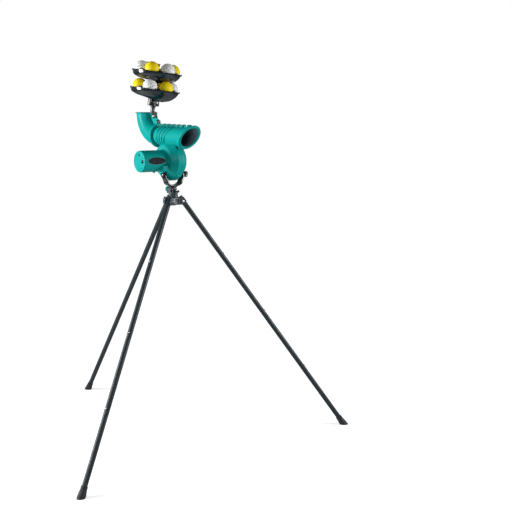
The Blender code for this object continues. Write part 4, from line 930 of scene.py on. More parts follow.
def make_fork():
    """U-shaped yoke: a bar of rounded square section that thickens towards its stem."""
    rings = []
    for inner, outer in fork_stations():
        middle = (Vector(inner) + Vector(outer)) / 2
        half = (Vector(outer) - Vector(inner)) / 2
        depth = fork_half_width(middle.y)
        ring = []
        for c, s, _ in circle_points(1.0, 36):
            point = middle + half * math.copysign(abs(c) ** (2 / FORK_SQUARENESS), c)
            ring.append((depth * math.copysign(abs(s) ** (2 / FORK_SQUARENESS), s), point.x, point.y))
        rings.append(ring)
    stem_top = FORK_LOW + 0.009
    shoulder = (STEM_R + STEM_SHOULDER[0], ROLL_Z + STEM_SHOULDER[1])
    stem = arc((0, ROLL_Z), STEM_R, 180, 360, 24)
    stem += [shoulder, (FORK_FLARE, stem_top), (-FORK_FLARE, stem_top), (-shoulder[0], shoulder[1])]
    pin = moved(rod(ROLL_PIN_R + GAP, -0.03, 0.03), shift(z=ROLL_Z) @ ALONG_X)
    eye = moved(rod(STUD_R + GAP, -0.08, 0.08), shift(z=TILT_Z) @ ALONG_Y)
    fork = worked(loft(rings), joins=[slab_x(stem, -STEM_HALF, STEM_HALF, 0.0014)], cuts=[pin, eye])
    skin("yoke_fork", fork, TRIPOD, sharp=40.0)


def make_tilt_knobs():
    """Hand knobs that clamp the fork's eyes, each on its steel stud."""
    low = FORK_OUTER_R + GAP
    for name, (sign, radius, length, lobes) in TILT_KNOBS.items():
        end = low + length
        matrix = at(0, 0, TILT_Z, (0, sign, 0))
        grip = slab(lobed(radius, radius * 0.14, lobes), low + 0.003, end, 0.0016)
        collar = turned([(radius * 0.72, low, 0.0005), (radius * 0.72, low + 0.004)])
        dish = turned([(radius * 0.5, end - 0.0012), (radius * 0.6, end + 0.001)])
        skin(name, worked(grip, joins=[collar], cuts=[dish]), matrix)
        stud = rod(STUD_R, DRUM_SIDE - 0.011, end - 0.0004, TINY, 0.0008)
        piece(name + "_stud", stud, name, matrix, "bright_steel")


# Body shells

def muzzle_lean(x):
    """How far the barrel's ring at x leans forward: upright at the groove, fully over at the last rib."""
    share = (x - GROOVE_END) / (RIB_COUNT * RIB_PITCH)
    return MUZZLE_TILT * min(max(share, 0.0), 1.0)


def barrel(profile):
    """Turn (x, radius[, corner radius]) points about the barrel's axis, then lean each ring by its place."""
    mesh = turned([(point[1], -point[0], *point[2:]) for point in profile], LARGE)
    mesh.transform(Matrix.Rotation(-math.pi / 2, 4, "Y"))
    for vert in mesh.vertices:
        vert.co.x += vert.co.z * math.tan(muzzle_lean(vert.co.x))
    return moved(mesh, shift(z=BARREL_Z))


def barrel_outside():
    """Neck, ribs with a groove after each, pipe and flared lip."""
    profile = [(NECK_REAR, NECK_R, 0.001), (GROOVE_END, NECK_R)]
    fall, floor, rise = RIB_GROOVE
    for k in range(RIB_COUNT):
        start = GROOVE_END + k * RIB_PITCH
        end = start + RIB_PITCH
        profile += [(start + 0.0006, RIB_R, 0.0030), (end - fall, RIB_R, 0.0040),
                    (end - floor, RIB_R - RIB_DIP, 0.0010), (end - rise, RIB_R - RIB_DIP)]
    ribs_end = GROOVE_END + RIB_COUNT * RIB_PITCH
    profile += [(ribs_end + 0.0018, PIPE_R, 0.001), (FLARE_START, PIPE_R, 0.02),
                (MUZZLE_X - MUZZLE_LIP, MUZZLE_R - 0.0012, 0.008), (MUZZLE_X, MUZZLE_R, 0.0055)]
    return barrel(profile)


def barrel_inside():
    """The bore, which widens at its mouth."""
    throat = BARREL_BORE + 0.001
    widen = MUZZLE_MOUTH_R - throat
    return barrel([(NECK_REAR - 0.02, BARREL_BORE), (MUZZLE_X - 3 * MOUTH, BARREL_BORE, 0.01),
                   (MUZZLE_X - MOUTH, throat, 0.01), (MUZZLE_X + MOUTH, throat + 2 * widen)])


def drum(inset):
    """The wheel drum, or the space inside its wall."""
    fall = DRUM_SIDE - DRUM_RIM
    run = DRUM_R - DRUM_SIDE_R
    slope = math.hypot(fall, run)
    half = DRUM_RIM - inset * (slope - run) / fall
    side_r = DRUM_SIDE_R - inset * (slope - fall) / run
    side = DRUM_SIDE - inset
    rim_r = DRUM_R - inset
    edge = 0.0 if inset else DRUM_EDGE
    profile = [(side_r, side, edge), (rim_r, half, edge), (rim_r, -half, edge), (side_r, -side, edge)]
    return moved(turned(profile, DISH), shift(WHEEL_X, 0, WHEEL_Z) @ ALONG_Y)


def boss_places():
    """X and Z of every screw boss on the seam between the shells; the rim's boss comes last."""
    places = [(x, BARREL_Z + RAIL_UP) for x in TOP_BOSSES]
    places.append((UNDER_BOSS, BARREL_Z - RAIL_UP + 0.0005))
    reach = DRUM_R + 0.001
    places.append((WHEEL_X + reach * math.cos(RIM_BOSS_ANGLE), WHEEL_Z + reach * math.sin(RIM_BOSS_ANGLE)))
    return places


def across(mesh, x, z, sign=-1):
    """A shape made along Z, turned to point out of the machine's right or left side."""
    return moved(mesh, shift(x, 0, z) @ Matrix.Rotation(-sign * math.pi / 2, 4, "X"))


def paint_inner_shade(obj, inside):
    """Give the faces that lie wholly inside something a dark colour, as painted shade."""
    mesh = obj.data
    mesh.materials.append(MATERIALS["painted_bore_shade"])
    within = [inside(vert.co) for vert in mesh.vertices]
    for face in mesh.polygons:
        if all(within[k] for k in face.vertices):
            face.material_index = 1


def barrel_bore(point):
    """Whether a point is in the barrel's bore, short of its rounded mouth."""
    up = point.z - BARREL_Z
    along = point.x - TRIPOD_X
    place = along
    for _ in range(12):
        # Closes in on the place that the ring had before it leaned
        place = along - up * math.tan(muzzle_lean(place))
    return math.hypot(point.y, up) < BARREL_BORE + SHADE_PLAY and place < MUZZLE_X - SHADE_END


def elbow_bore(point):
    """Whether a point is on the elbow's inner wall."""
    x, z = point.x - TRIPOD_X, point.z
    if x > BEND_START:
        if x > NECK_REAR - 2 * GAP:
            return False
        off = z - BARREL_Z
    elif z > ELBOW_TOP:
        off = x - ELBOW_X
    else:
        off = math.hypot(x - BEND_START, z - ELBOW_TOP) - BEND
    return math.hypot(off, point.y) < BARREL_BORE + SHADE_PLAY / 2


def shell_body():
    """Both mouldings in one: barrel, drum, seam rail and screw bosses, hollow inside."""
    rail_z = BARREL_Z + RAIL_UP
    rail = block((TOP_BOSSES[0], -RAIL_HALF, rail_z - 0.011), (TOP_BOSSES[-1], RAIL_HALF, rail_z - 0.001))
    bosses = [across(rod(BOSS_R, -BOSS_HALF, BOSS_HALF, 28, 0.0010), x, z) for x, z in boss_places()]
    pockets = [across(rod(BOSS_R - 0.0018, BOSS_HALF - SCREW_SUNK, BOSS_HALF + OVER, TINY), x, z)
               for x, z in boss_places()[:-1]]
    return worked(barrel_outside(), [drum(0.0), rail, *bosses], [barrel_inside(), drum(DRUM_WALL), *pockets])


def shell_foot():
    """Pad under the motor case, on the drum's right side."""
    low = (SHELL_FOOT_X[0], -DRUM_SIDE - SHELL_FOOT_REACH, WHEEL_Z - SHELL_FOOT_DROP[0])
    high = (SHELL_FOOT_X[1], -DRUM_SIDE + 0.002, WHEEL_Z - SHELL_FOOT_DROP[1])
    return softened(block(low, high), 0.0014)


def make_shells():
    """Two mouldings that meet on the barrel's middle plane, with a screw in each boss but the rim's."""
    body = shell_body()
    case_r = CASE_R + GAP
    room = turned([(case_r + CASE_FLARE, DRUM_SIDE), (case_r + CASE_FLARE, DRUM_SIDE + 0.002),
                   (case_r, DRUM_SIDE + 0.006), (case_r, 0.2)], LARGE)
    for name, sign, shaft_end in (("right_shell", -1, 0.06), ("left_shell", 1, SHAFT_LEFT_END)):
        boss = across(rod(SIDE_BOSS_R, DRUM_SIDE - 0.010, BOSS_FACE, SMALL, 0.0006), 0, TILT_Z, sign)
        seat = across(rod(BEARING_R, BEARING_IN, DRUM_SIDE - 0.001), WHEEL_X, WHEEL_Z, sign)
        stud = across(rod(STUD_R + GAP, 0.0, 0.06), 0, TILT_Z, sign)
        shaft = across(rod(SHAFT_R + GAP, 0.0, shaft_end), WHEEL_X, WHEEL_Z, sign)
        other_half = moved(block((-1, min(-sign, 0), 0), (1, max(-sign, 0), 3)), shift(y=sign * GAP))
        base = body.copy()
        if name == "right_shell":
            base = worked(base, [shell_foot()], [across(room, WHEEL_X, WHEEL_Z)])
        shell = worked(base, [boss, seat], [stud, shaft, other_half])
        # The bore's inner wall gets painted shade
        paint_inner_shade(skin(name, shell, TRIPOD), barrel_bore)
    head = screw_head(SCREW_R, SCREW_HEAD)
    for k, (x, z) in enumerate(boss_places()[:-1]):
        matrix = at(x, SCREW_SUNK - BOSS_HALF, z, RIGHT, 0.4 * k)
        piece(f"shell_screw_{k + 1}", head.copy(), "right_shell", matrix, "grey_casting")


def make_wheel():
    """Tyre and pressure pad, which show through the bore."""
    tyre = turned([(TYRE_R, TYRE_HALF, 0.001), (TYRE_R - TYRE_DISH, 0.0, 0.02), (TYRE_R, -TYRE_HALF, 0.001),
                   (TYRE_INNER_R, -TYRE_HALF), (TYRE_INNER_R, TYRE_HALF)], LARGE, ring=True)
    skin("wheel_tyre", tyre, at(WHEEL_X, 0, WHEEL_Z, Y_AXIS))
    outer = BARREL_BORE - GAP
    outline = (arc((0, 0), outer, 90 - PAD_SPAN, 90 + PAD_SPAN, 24)
               + arc((0, 0), outer - PAD_THICK, 90 + PAD_SPAN, 90 - PAD_SPAN, 24))
    pad = slab_x(outline, -PAD_HALF_LENGTH, PAD_HALF_LENGTH, 0.0008)
    skin("pressure_pad", pad, at(WHEEL_X, 0, BARREL_Z))


# Motor

def make_motor_case():
    """Flared tube with a boss, a hole and a steel nut for the switch."""
    near = DRUM_SIDE + GAP
    foot_r = CASE_R + CASE_FLARE
    case = turned([(CASE_INNER_R, CASE_END), (CASE_R, CASE_END, 0.0007), (CASE_R, near + 0.005, 0.004),
                   (foot_r, near + 0.0012, 0.0005), (foot_r, near), (CASE_INNER_R, near)], LARGE, ring=True)
    boss = turned([(BUSH_R + 0.0035, CASE_INNER_R + 0.001), (BUSH_R, SWITCH_FACE, 0.0008)])
    hole = rod(TOGGLE_HOLE_R, CASE_INNER_R - OVER, CASE_R + 0.02)
    skin("motor_case", worked(case, [moved(boss, SWITCH)], [moved(hole.copy(), SWITCH)]), AXLE)
    nut = worked(slab(hex_outline(BUSH_R), SWITCH_FACE, SWITCH_FACE + NUT_THICK, 0.0004), cuts=[hole])
    piece("switch_nut", nut, "motor_case", AXLE @ SWITCH, "bright_steel")


def make_end_cap():
    """Domed cap with a hole for the socket and three sunk screws."""
    room = CASE_INNER_R - GAP
    cap = turned([(CASE_R, CAP_HIGH, 0.0048), (CASE_R, CAP_LOW, 0.0009), (room, CAP_LOW),
                  (room, CAP_LOW - 0.006)], LARGE)
    cuts = [moved(rod(SOCKET_R + GAP, 0.0, 0.3), shift(SOCKET_X))]
    for x, z, radius in CAP_POCKETS:
        cuts.append(moved(rod(radius, CAP_HIGH - CAP_POCKET, CAP_HIGH + OVER), shift(x, z)))
    skin("motor_end_cap", worked(cap, cuts=cuts), AXLE)
    for k, (x, z, radius) in enumerate(CAP_POCKETS):
        screw = moved(screw_head(radius * 0.88, 0.0016), shift(x, z, CAP_HIGH - CAP_POCKET + 0.0008))
        piece(f"cap_screw_{k + 1}", screw, "motor_end_cap", AXLE, "black_plastic")


def make_power_socket():
    """Round inlet in the end cap, with two pins."""
    well = SOCKET_R - SOCKET_WALL
    rim = CAP_HIGH + 0.0005
    socket = turned([(well, CAP_HIGH - 0.007), (well, rim, 0.0004), (SOCKET_R, rim, 0.0006),
                     (SOCKET_R, CAP_LOW - 0.004)])
    pins = [moved(rod(SOCKET_PIN_R, CAP_HIGH - 0.009, CAP_HIGH - 0.0015, 16, 0.0005), shift(x))
            for x in (-SOCKET_PIN_X, SOCKET_PIN_X)]
    skin("power_socket", worked(socket, joins=pins), AXLE @ shift(SOCKET_X))


def make_toggle():
    end = SWITCH_FACE + TOGGLE_LENGTH
    root_r = TOGGLE_R * 0.6
    lever = turned([(TOGGLE_R, end, 0.0018), (root_r, SWITCH_FACE), (root_r, CASE_R - 0.006)], TINY)
    skin("toggle_lever", lever, AXLE @ SWITCH)


def badge(inset, thick):
    """An oval plate wrapped round the motor case."""
    rings = []
    for radius in (CASE_R - BADGE_ROOT, CASE_R + thick):
        ring = []
        for c, s, _ in circle_points(1.0, 64):
            turn = BADGE_TURN + (BADGE_HALF[1] - inset) * s / CASE_R
            y = BADGE_Y + (BADGE_HALF[0] - inset) * c
            ring.append((radius * math.cos(turn), y, radius * math.sin(turn)))
        rings.append(ring)
    return loft(rings)


def make_case_plate():
    """The bare oval plate on the motor case, and its edge."""
    wheel = at(WHEEL_X, 0, WHEEL_Z)
    piece("case_plate_edge", badge(0.0, BADGE_THICK), "motor_case", wheel, "grey_casting")
    plate = piece("case_plate", badge(BADGE_EDGE, BADGE_THICK + 0.0003), "motor_case", wheel, "black_plastic")
    plate.data.materials[0] = MATERIALS["plate_film"]


# Feed elbow

def elbow_solid(radius, beyond):
    """A bent round bar along the elbow's centre line, run on by some length at both ends."""
    stations = [(COLLAR_FRONT - 0.004 + beyond, BARREL_Z, 0.0)]
    for k in range(25):
        turn = math.pi / 2 * k / 24
        stations.append((BEND_START - BEND * math.sin(turn), ELBOW_TOP - BEND * math.cos(turn), turn))
    stations.append((ELBOW_X, ELBOW_TOP + 0.001 + beyond, math.pi / 2))
    rings = []
    for x, z, turn in stations:
        rings.append([(x - out * math.sin(turn), side, z - out * math.cos(turn))
                      for side, out, _ in circle_points(radius, BENT)])
    return loft(rings)


def feeder_lug():
    """Web along the elbow's top that carries the feeder's foot and the clamp screw."""
    back = ELBOW_X + ELBOW_R - 0.0035
    neck_top = BARREL_Z + NECK_R
    outline = [(back, FEEDER_Z - 0.016), (FEEDER_X - 0.028, FEEDER_Z - 0.060),
               (FEEDER_X - 0.010, neck_top + 0.004), (COLLAR_FRONT - 0.001, neck_top + 0.006)]
    outline += arc((CLAMP_X, CLAMP_Z), 0.006, 0, 90, 8)
    outline += arc((FEEDER_X, FEEDER_Z), FOOT_EYE_R - 0.0022, -40, 100, 16)
    outline.append((back, FEEDER_Z + 0.004))
    return slab_y(outline, -WEB_HALF, WEB_HALF, 0.0010)


def make_elbow():
    """Feed elbow with a collar on the barrel's neck, a lip at its mouth and the feeder's lug."""
    along = shift(z=BARREL_Z) @ Z_TO_X
    collar = turned([(COLLAR_R, COLLAR_FRONT, 0.0012), (COLLAR_R, COLLAR_BACK + 0.0075, 0.0015),
                     (ELBOW_R + 0.001, COLLAR_BACK, 0.003)], LARGE)
    lip = turned([(ELBOW_LIP_R, ELBOW_TOP + ELBOW_LIP, 0.0012), (ELBOW_LIP_R, ELBOW_TOP, 0.0006),
                  (ELBOW_R, ELBOW_TOP - 0.004, 0.003)], LARGE)
    joins = [moved(collar, along), moved(lip, shift(ELBOW_X)), feeder_lug()]
    cuts = [elbow_solid(BARREL_BORE, 0.03), moved(rod(NECK_R + GAP, NECK_REAR - GAP, 0.0, LARGE), along),
            across(rod(CLAMP_R + GAP, -0.02, 0.02), CLAMP_X, CLAMP_Z),
            across(rod(FOOT_BOLT_R + GAP, -0.02, 0.02), FEEDER_X, FEEDER_Z)]
    elbow = skin("feed_elbow", worked(elbow_solid(ELBOW_R, 0.0), joins, cuts), TRIPOD)
    # The elbow's inner wall gets painted shade
    paint_inner_shade(elbow, elbow_bore)


def make_clamp_screw():
    """Thumb screw that clamps the elbow's collar, with its steel tip."""
    face = WEB_HALF + GAP
    end = face + CLAMP_KNOB
    place = at(CLAMP_X, 0, CLAMP_Z, RIGHT)
    knob = slab(lobed(CLAMP_KNOB_R, 0.0009, 8), face + 0.002, end, 0.0014)
    neck = rod(CLAMP_KNOB_R * 0.7, face, face + 0.003)
    skin("elbow_lock_screw", worked(knob, joins=[neck]), place)
    tip = rod(CLAMP_R, -face - 0.003, end + 0.0012, TINY, 0.0006)
    piece("elbow_lock_tip", tip, "elbow_lock_screw", place, "bright_steel")


# Feeder and carousel

def make_feeder_post():
    """Clevis foot round the elbow's lug, with a round post up to the gearbox."""
    place = at(FEEDER_X, 0, FEEDER_Z)
    outline = arc((0, 0), FOOT_EYE_R, 180, 360, 28) + [(FOOT_EYE_R, FOOT_TOP), (-FOOT_EYE_R, FOOT_TOP)]
    foot = moved(slab_y(outline, -FOOT_HALF, FOOT_HALF, 0.0014), place)
    top = -TRAY_PAD - 2 * GAP - GEARBOX_HEIGHT
    collar_r = POST_R + POST_COLLAR
    column = turned([(collar_r, 0.02), (collar_r, top - 0.002, 0.002), (POST_R, top - 0.007, 0.003),
                     (POST_R, POST_LOW)], TUBE)
    over = moved(block((-0.05, -0.05, top), (0.05, 0.05, top + 0.1)), HOPPER)
    web = WEB_HALF + GAP
    slot = moved(block((-0.03, -web, -0.0165), (0.03, web, 0.0135)), place)
    hole = moved(moved(rod(FOOT_BOLT_R + GAP, -0.03, 0.03), ALONG_Y), place)
    skin("feeder_post", worked(foot, [moved(column, HOPPER)], [over, slot, hole]))


def make_foot_bolt():
    """Bolt through the feeder's foot, with a hexagon socket and a nut."""
    face = FOOT_HALF + GAP
    end = face + FOOT_BOLT_HEAD
    bolt = turned([(FOOT_BOLT_HEAD_R, end, 0.0018), (FOOT_BOLT_HEAD_R, face), (FOOT_BOLT_R, face),
                   (FOOT_BOLT_R, -face), (FOOT_NUT_R, -face), (FOOT_NUT_R, -end, 0.0008)])
    recess = slab(hex_outline(0.0020), face + 0.0018, face + OVER)
    skin("feeder_foot_bolt", worked(bolt, cuts=[recess]), at(FEEDER_X, 0, FEEDER_Z, RIGHT))


def gearbox_outline(extra):
    half = GEARBOX_HALF - GEARBOX_R
    radius = GEARBOX_R + extra
    return arc((0, half), radius, 0, 180, 32) + arc((0, -half), radius, 180, 360, 32)


def make_gearbox():
    """Gearbox under the lower tray, with grooves down its sides and flutes round its ends."""
    high = -TRAY_PAD - GAP
    low = high - GEARBOX_HEIGHT
    half = GEARBOX_HALF - GEARBOX_R
    cuts = [moved(rod(0.0045, low - OVER, high + OVER), shift(sign * (GEARBOX_R + 0.0015)))
            for sign in (-1, 1)]
    for sign in (-1, 1):
        for turn in range(-60, 61, 30):
            x, y = polar(GEARBOX_R, turn + 90 * sign)
            cuts.append(moved(rod(FLUTE_R, low + 0.005, high - 0.004, 16), shift(x, sign * half + y)))
    cuts += [rod(SLEEVE_R + GAP, high - 0.012, high + OVER), rod(SHAFT2_R + GAP, high - 0.028, high)]
    skin("feeder_gearbox", worked(slab(gearbox_outline(0.0), low, high, 0.0028), cuts=cuts), HOPPER)


def tray_bowl(lean):
    """Outside of a tray: rings that sink and shrink, lean, and shift towards the high side."""
    low_side = Vector((math.cos(HOPPER_LEAN_AZIMUTH), math.sin(HOPPER_LEAN_AZIMUTH), 0))
    side = Vector((-low_side.y, low_side.x, 0))
    last = len(TRAY_RINGS) - 1
    bends = [(*ring, 0.040) if 0 < k < last else ring for k, ring in enumerate(TRAY_RINGS)]
    rings = []
    for narrower, depth in rounded(bends, steps=7):
        share = (max(depth, 0.0) / TRAY_DEPTH) ** 2
        tip = math.radians(lean) * share
        centre = low_side * (-TRAY_SHIFT * share) + Vector((0, 0, TRAY_RIM - depth))
        out = low_side * math.cos(tip) - Vector((0, 0, math.sin(tip)))
        rings.append([centre + out * x + side * y for x, y, _ in circle_points(TRAY_R - narrower, DISH)])
    return loft(rings)


def tray_trough():
    """Space for the balls: a flat track with a rounded wall up to the rim."""
    wall = TRAY_R - TRAY_WALL
    profile = [(wall, 0.10), (wall, TRAY_RIM - 0.001), (wall - 0.0006, TRAY_RIM - 0.002)]
    profile += [*arc((SLOT_R, TROUGH_R), TROUGH_R, -10, -80, 12), (SLOT_R + 0.002, 0.0)]
    return turned(profile, DISH)


def rim_lug():
    low = (TRAY_R - 0.0022, -0.0050, TRAY_RIM - 0.0075)
    high = (TRAY_R + 0.0036, 0.0050, TRAY_RIM + 0.0012)
    return softened(block(low, high), 0.0012)


def make_trays():
    """Two dishes, each with a hole where a ball drops and two lugs on its rim."""
    for name, (level, lean, drop) in TRAYS.items():
        cuts = [tray_trough(), moved(rod(DROP_HOLE_R, -0.05, 0.05, 64), shift(*polar(SLOT_R, drop)))]
        if name == "lower_tray":
            cuts += [slab(gearbox_outline(2 * GAP), -TRAY_PAD - 0.06, -TRAY_PAD),
                     rod(SLEEVE_R + GAP, -0.03, OVER)]
        else:
            # Room over the lower tier's balls, then the seat on the column and the shaft's hole
            lane = turned(circle(BALL_R + 0.0018, (SLOT_R, BALL_R + 2 * GAP - TIER)), DISH, ring=True)
            cuts += [lane, rod(COLUMN_FLANGE_R + 2 * GAP, UPPER_SEAT - 0.06, UPPER_SEAT),
                     rod(SHAFT2_R + 0.001, UPPER_SEAT - OVER, OVER)]
        place = HOPPER @ shift(z=level)
        skin(name, worked(tray_bowl(lean), cuts=cuts), place, sharp=40.0)
        for k, azimuth in enumerate(RIM_LUGS):
            piece(f"{name}_lug_{k + 1}", rim_lug(), name, place @ turn_z(azimuth), "black_plastic")


def make_column():
    """Fixed fluted tube that carries the upper tray."""
    foot = -TRAY_PAD - 0.012
    top = TIER + UPPER_SEAT - GAP
    wide = COLUMN_R + 0.0060
    hole = SHAFT2_R + GAP
    column = turned([(COLUMN_FLANGE_R, top), (COLUMN_FLANGE_R, top - COLUMN_FLANGE, 0.0006),
                     (wide, top - 0.010, 0.004), (wide, ROTOR_TOP + 0.0035), (COLUMN_R, ROTOR_TOP + 0.0020),
                     (COLUMN_R, foot), (hole, foot), (hole, top)], BENT, ring=True)
    cuts = [moved(rod(0.0022, 0.040, top - 0.011, 12), shift(*polar(wide, 30 * k))) for k in range(12)]
    skin("tray_column", worked(column, cuts=cuts), HOPPER)


def make_rotor(name, level, profile):
    """Ball pusher: a turned hub with an arm between each two balls."""
    start = ROTOR_HUB_R - 0.003
    outline = rounded([(start, 0.004), (ROTOR_REACH - 0.022, 0.004, 0.006),
                       (ROTOR_REACH - 0.002, 0.018, 0.006), (ROTOR_REACH, 0.030, 0.003),
                       (ROTOR_REACH - 0.004, 0.034, 0.003), (start, 0.034)])
    arms = []
    for k in range(SLOTS):
        arm = slab_y(outline, -ROTOR_ARM / 2, ROTOR_ARM / 2, 0.0005)
        arms.append(moved(arm, turn_z(SLOT_TURN + 30 + 60 * k)))
    skin(name, worked(turned(profile, 64, ring=True), joins=arms), HOPPER @ shift(z=level))


def make_carousel():
    """Rotors, their shaft and cap."""
    low = 0.0015
    slope = [(ROTOR_HUB_R, ROTOR_SHOULDER, 0.002), (ROTOR_HUB_R, low)]
    crown = ROTOR_HUB_R * 0.6
    hole = COLUMN_R + GAP
    sleeve_low = -TRAY_PAD - 0.011
    make_rotor("lower_rotor", 0.0, [(crown, ROTOR_TOP, 0.001), *slope, (SLEEVE_R, low),
                                    (SLEEVE_R, sleeve_low), (hole, sleeve_low), (hole, ROTOR_TOP)])
    hole = SHAFT2_R + GAP
    make_rotor("upper_rotor", TIER, [(crown, UPPER_ROTOR_TOP, 0.001), *slope, (hole, low),
                                     (hole, UPPER_ROTOR_TOP)])
    cap_low = TIER + UPPER_ROTOR_TOP + GAP
    cap_top = TIER + CAP_TOP
    shaft_top = cap_top - 0.007
    skin("carousel_shaft", rod(SHAFT2_R, -TRAY_PAD - 0.027, shaft_top, TINY, 0.0006), HOPPER)
    cap = turned([(CAP_R - 0.0028, cap_top - 0.0015, 0.001), (CAP_R - 0.0018, cap_top, 0.0005),
                  (CAP_R, cap_top, 0.0008), (CAP_R, cap_top - 0.003, 0.001), (hole + 0.0015, cap_low),
                  (hole, cap_low), (hole, shaft_top + GAP)], 48)
    skin("carousel_cap", cap, HOPPER)


# Balls

def ball_marks(make_mark):
    """Small cutters spread in slanting rows over a ball, as one mesh."""
    bm = bmesh.new()
    for row, latitude in enumerate(BALL_ROWS):
        tilt = math.radians(latitude)
        count = round(2 * math.pi * BALL_R * math.cos(tilt) / BALL_PITCH)
        for k in range(count):
            around = 2 * math.pi * (k + 0.5 * (row % 2)) / count
            place = Matrix.Rotation(around, 4, "Z") @ Matrix.Rotation(math.pi / 2 - tilt, 4, "Y")
            bm.from_mesh(moved(make_mark(), place @ turn_z(BALL_SLANT)))
    return mesh_from(bm, "marks")


def ball_mesh(make_mark):
    bm = bmesh.new()
    bmesh.ops.create_uvsphere(bm, u_segments=72, v_segments=44, radius=BALL_SHOWN_R)
    return worked(mesh_from(bm, "ball"), cuts=[ball_marks(make_mark)])


def slit():
    outline = arc((SLIT_HALF, 0), SLIT_R, -90, 90, 6) + arc((-SLIT_HALF, 0), SLIT_R, 90, 270, 6)
    return slab(outline, BALL_SHOWN_R - 0.003, BALL_SHOWN_R + 0.003)


def dimple():
    """A bead that leaves a shallow round dent."""
    centre = (0.0, BALL_SHOWN_R + DIMPLE_R - DIMPLE_DEPTH)
    return turned(arc(centre, DIMPLE_R, -90, 90, 9), 14)


def make_balls():
    """White balls pierced with slits, yellow ones with shallow dimples, each turned its own way."""
    meshes = {"white": ball_mesh(slit), "yellow": ball_mesh(dimple)}
    tiers = {"lower": (0.0, {"white": (300.0, 60.0), "yellow": (240.0, 0.0, 120.0)}),
             "upper": (TIER, {"white": (240.0, 0.0), "yellow": (300.0, 60.0, 180.0)})}
    for tier, (level, colours) in tiers.items():
        for colour, azimuths in colours.items():
            for k, azimuth in enumerate(azimuths):
                slot = SLOT_TURN + azimuth
                middle = HOPPER @ shift(*polar(SLOT_R, slot), level + BALL_R + 2 * GAP)
                turn = Matrix.Rotation(math.radians(slot) + 1.7 * k, 4, "Z")
                roll = Matrix.Rotation(0.5 + 0.4 * k, 4, "X")
                ball = skin(f"{tier}_{colour}_ball_{k + 1}", meshes[colour].copy(), middle @ (turn @ roll))
                centre = middle.to_translation()
                if colour == "white":
                    # The walls of the slits get painted shade
                    paint_inner_shade(ball, lambda point, centre=centre: (point - centre).length < BALL_SHOWN_R - 0.0006)


# Floor, light and camera

def make_floor():
    """A pale floor that keeps the shadow and runs out to white."""
    floor = linked("floor", loft([circle_points(FLOOR_R, LARGE, -0.002), circle_points(FLOOR_R, LARGE, 0.0)]))
    mat, tree, shader = new_material("floor")
    shader.inputs["Roughness"].default_value = 0.9
    shader.inputs["Specular IOR Level"].default_value = 0.0
    tree.links.new(ramp(tree, noise(tree, 3.0), 0.60, 0.64), shader.inputs["Base Color"])
    bump(tree, shader, noise(tree, 400.0), 0.02)
    place = tree.nodes.new("ShaderNodeTexCoord")
    length = tree.nodes.new("ShaderNodeVectorMath")
    length.operation = "LENGTH"
    tree.links.new(place.outputs["Object"], length.inputs[0])
    fade = tree.nodes.new("ShaderNodeMapRange")
    fade.inputs["From Min"].default_value, fade.inputs["From Max"].default_value = FLOOR_FADE
    fade.inputs["To Min"].default_value = FLOOR_GLOW
    fade.inputs["To Max"].default_value = 1.0
    tree.links.new(length.outputs["Value"], fade.inputs["Value"])
    rays = tree.nodes.new("ShaderNodeLightPath")
    seen = maths(tree, "MULTIPLY", fade.outputs["Result"], rays.outputs["Is Camera Ray"])
    shader.inputs["Emission Color"].default_value = (1, 1, 1, 1)
    tree.links.new(seen, shader.inputs["Emission Strength"])
    floor.data.materials.append(mat)


def make_world():
    """White to the camera, dim in reflections and dimmer still as a light."""
    world = bpy.data.worlds.new("studio")
    bpy.context.scene.world = world
    world.use_nodes = True
    tree = world.node_tree
    rays = tree.nodes.new("ShaderNodeLightPath")
    seen = maths(tree, "MAXIMUM", rays.outputs["Is Camera Ray"], rays.outputs["Is Transmission Ray"])
    mirrored = maths(tree, "MULTIPLY", rays.outputs["Is Glossy Ray"], WORLD_MIRRORED)
    level = tree.nodes.new("ShaderNodeMapRange")
    level.inputs["To Min"].default_value = WORLD_LIGHT
    tree.links.new(maths(tree, "MAXIMUM", seen, mirrored), level.inputs["Value"])
    tree.links.new(level.outputs["Result"], tree.nodes["Background"].inputs["Strength"])
    tree.nodes["Background"].inputs["Color"].default_value = (1, 1, 1, 1)


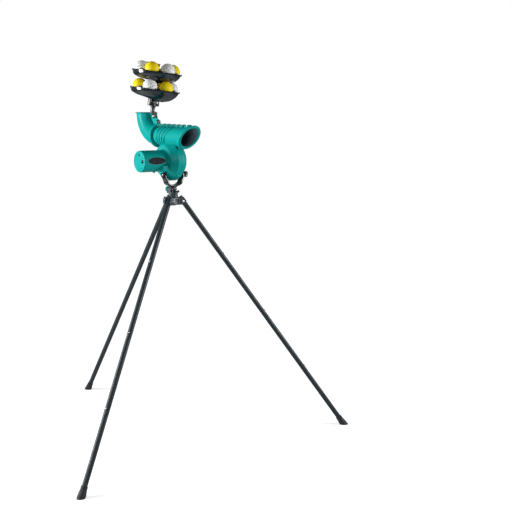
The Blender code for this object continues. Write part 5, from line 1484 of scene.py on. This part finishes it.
def make_lamp(name, azimuth, elevation, distance, size, power):
    """A rectangular soft light aimed at the machine's head."""
    data = bpy.data.lights.new(name, "AREA")
    data.shape = "RECTANGLE"
    data.size, data.size_y = size
    data.energy = power
    lamp = linked(name, data)
    turn, up = math.radians(azimuth), math.radians(elevation)
    away = Vector((math.cos(turn) * math.cos(up), math.sin(turn) * math.cos(up), math.sin(up)))
    target = Vector((TRIPOD_X, 0, LAMP_TARGET_Z))
    facing = away.to_track_quat("Z", "Y").to_matrix().to_4x4()
    lamp.matrix_world = Matrix.Translation(target + away * distance) @ facing


def make_camera():
    """The photograph's viewing angle and framing."""
    data = bpy.data.cameras.new("camera")
    data.sensor_width = CAMERA_SENSOR
    data.lens = CAMERA_FOCAL * CAMERA_SENSOR / CAMERA_FRAME
    camera = linked("camera", data)
    heading = math.radians(CAMERA_AZIMUTH) + math.pi + math.radians(CAMERA_YAW)
    pitch, roll = math.radians(CAMERA_PITCH), math.radians(CAMERA_ROLL)
    flat = math.cos(pitch)
    forward = Vector((flat * math.cos(heading), flat * math.sin(heading), math.sin(pitch)))
    level = Vector((math.sin(heading), -math.cos(heading), 0.0))
    right = math.cos(roll) * level + math.sin(roll) * level.cross(forward)
    axes = Matrix((right, right.cross(forward), -forward)).transposed().to_4x4()
    x, y = polar(CAMERA_REACH, CAMERA_AZIMUTH)
    camera.matrix_world = shift(TRIPOD_X + x, y, CAMERA_HEIGHT) @ axes
    bpy.context.scene.camera = camera


make_legs()
make_hub()
make_spindle()
make_swivel()
make_roll_clamp()
make_fork()
make_tilt_knobs()
make_shells()
make_wheel()
make_motor_case()
make_end_cap()
make_power_socket()
make_toggle()
make_case_plate()
make_elbow()
make_clamp_screw()
make_feeder_post()
make_foot_bolt()
make_gearbox()
make_trays()
make_column()
make_carousel()
make_balls()
for node, obj in frame["nodes"].items():
    if obj.data.materials:
        obj.data.materials[0] = MATERIALS[SLOT_OF[node]]

make_floor()
make_world()
for row in LAMPS:
    make_lamp(*row)
make_camera()
bpy.context.scene.view_settings.view_transform = "Standard"
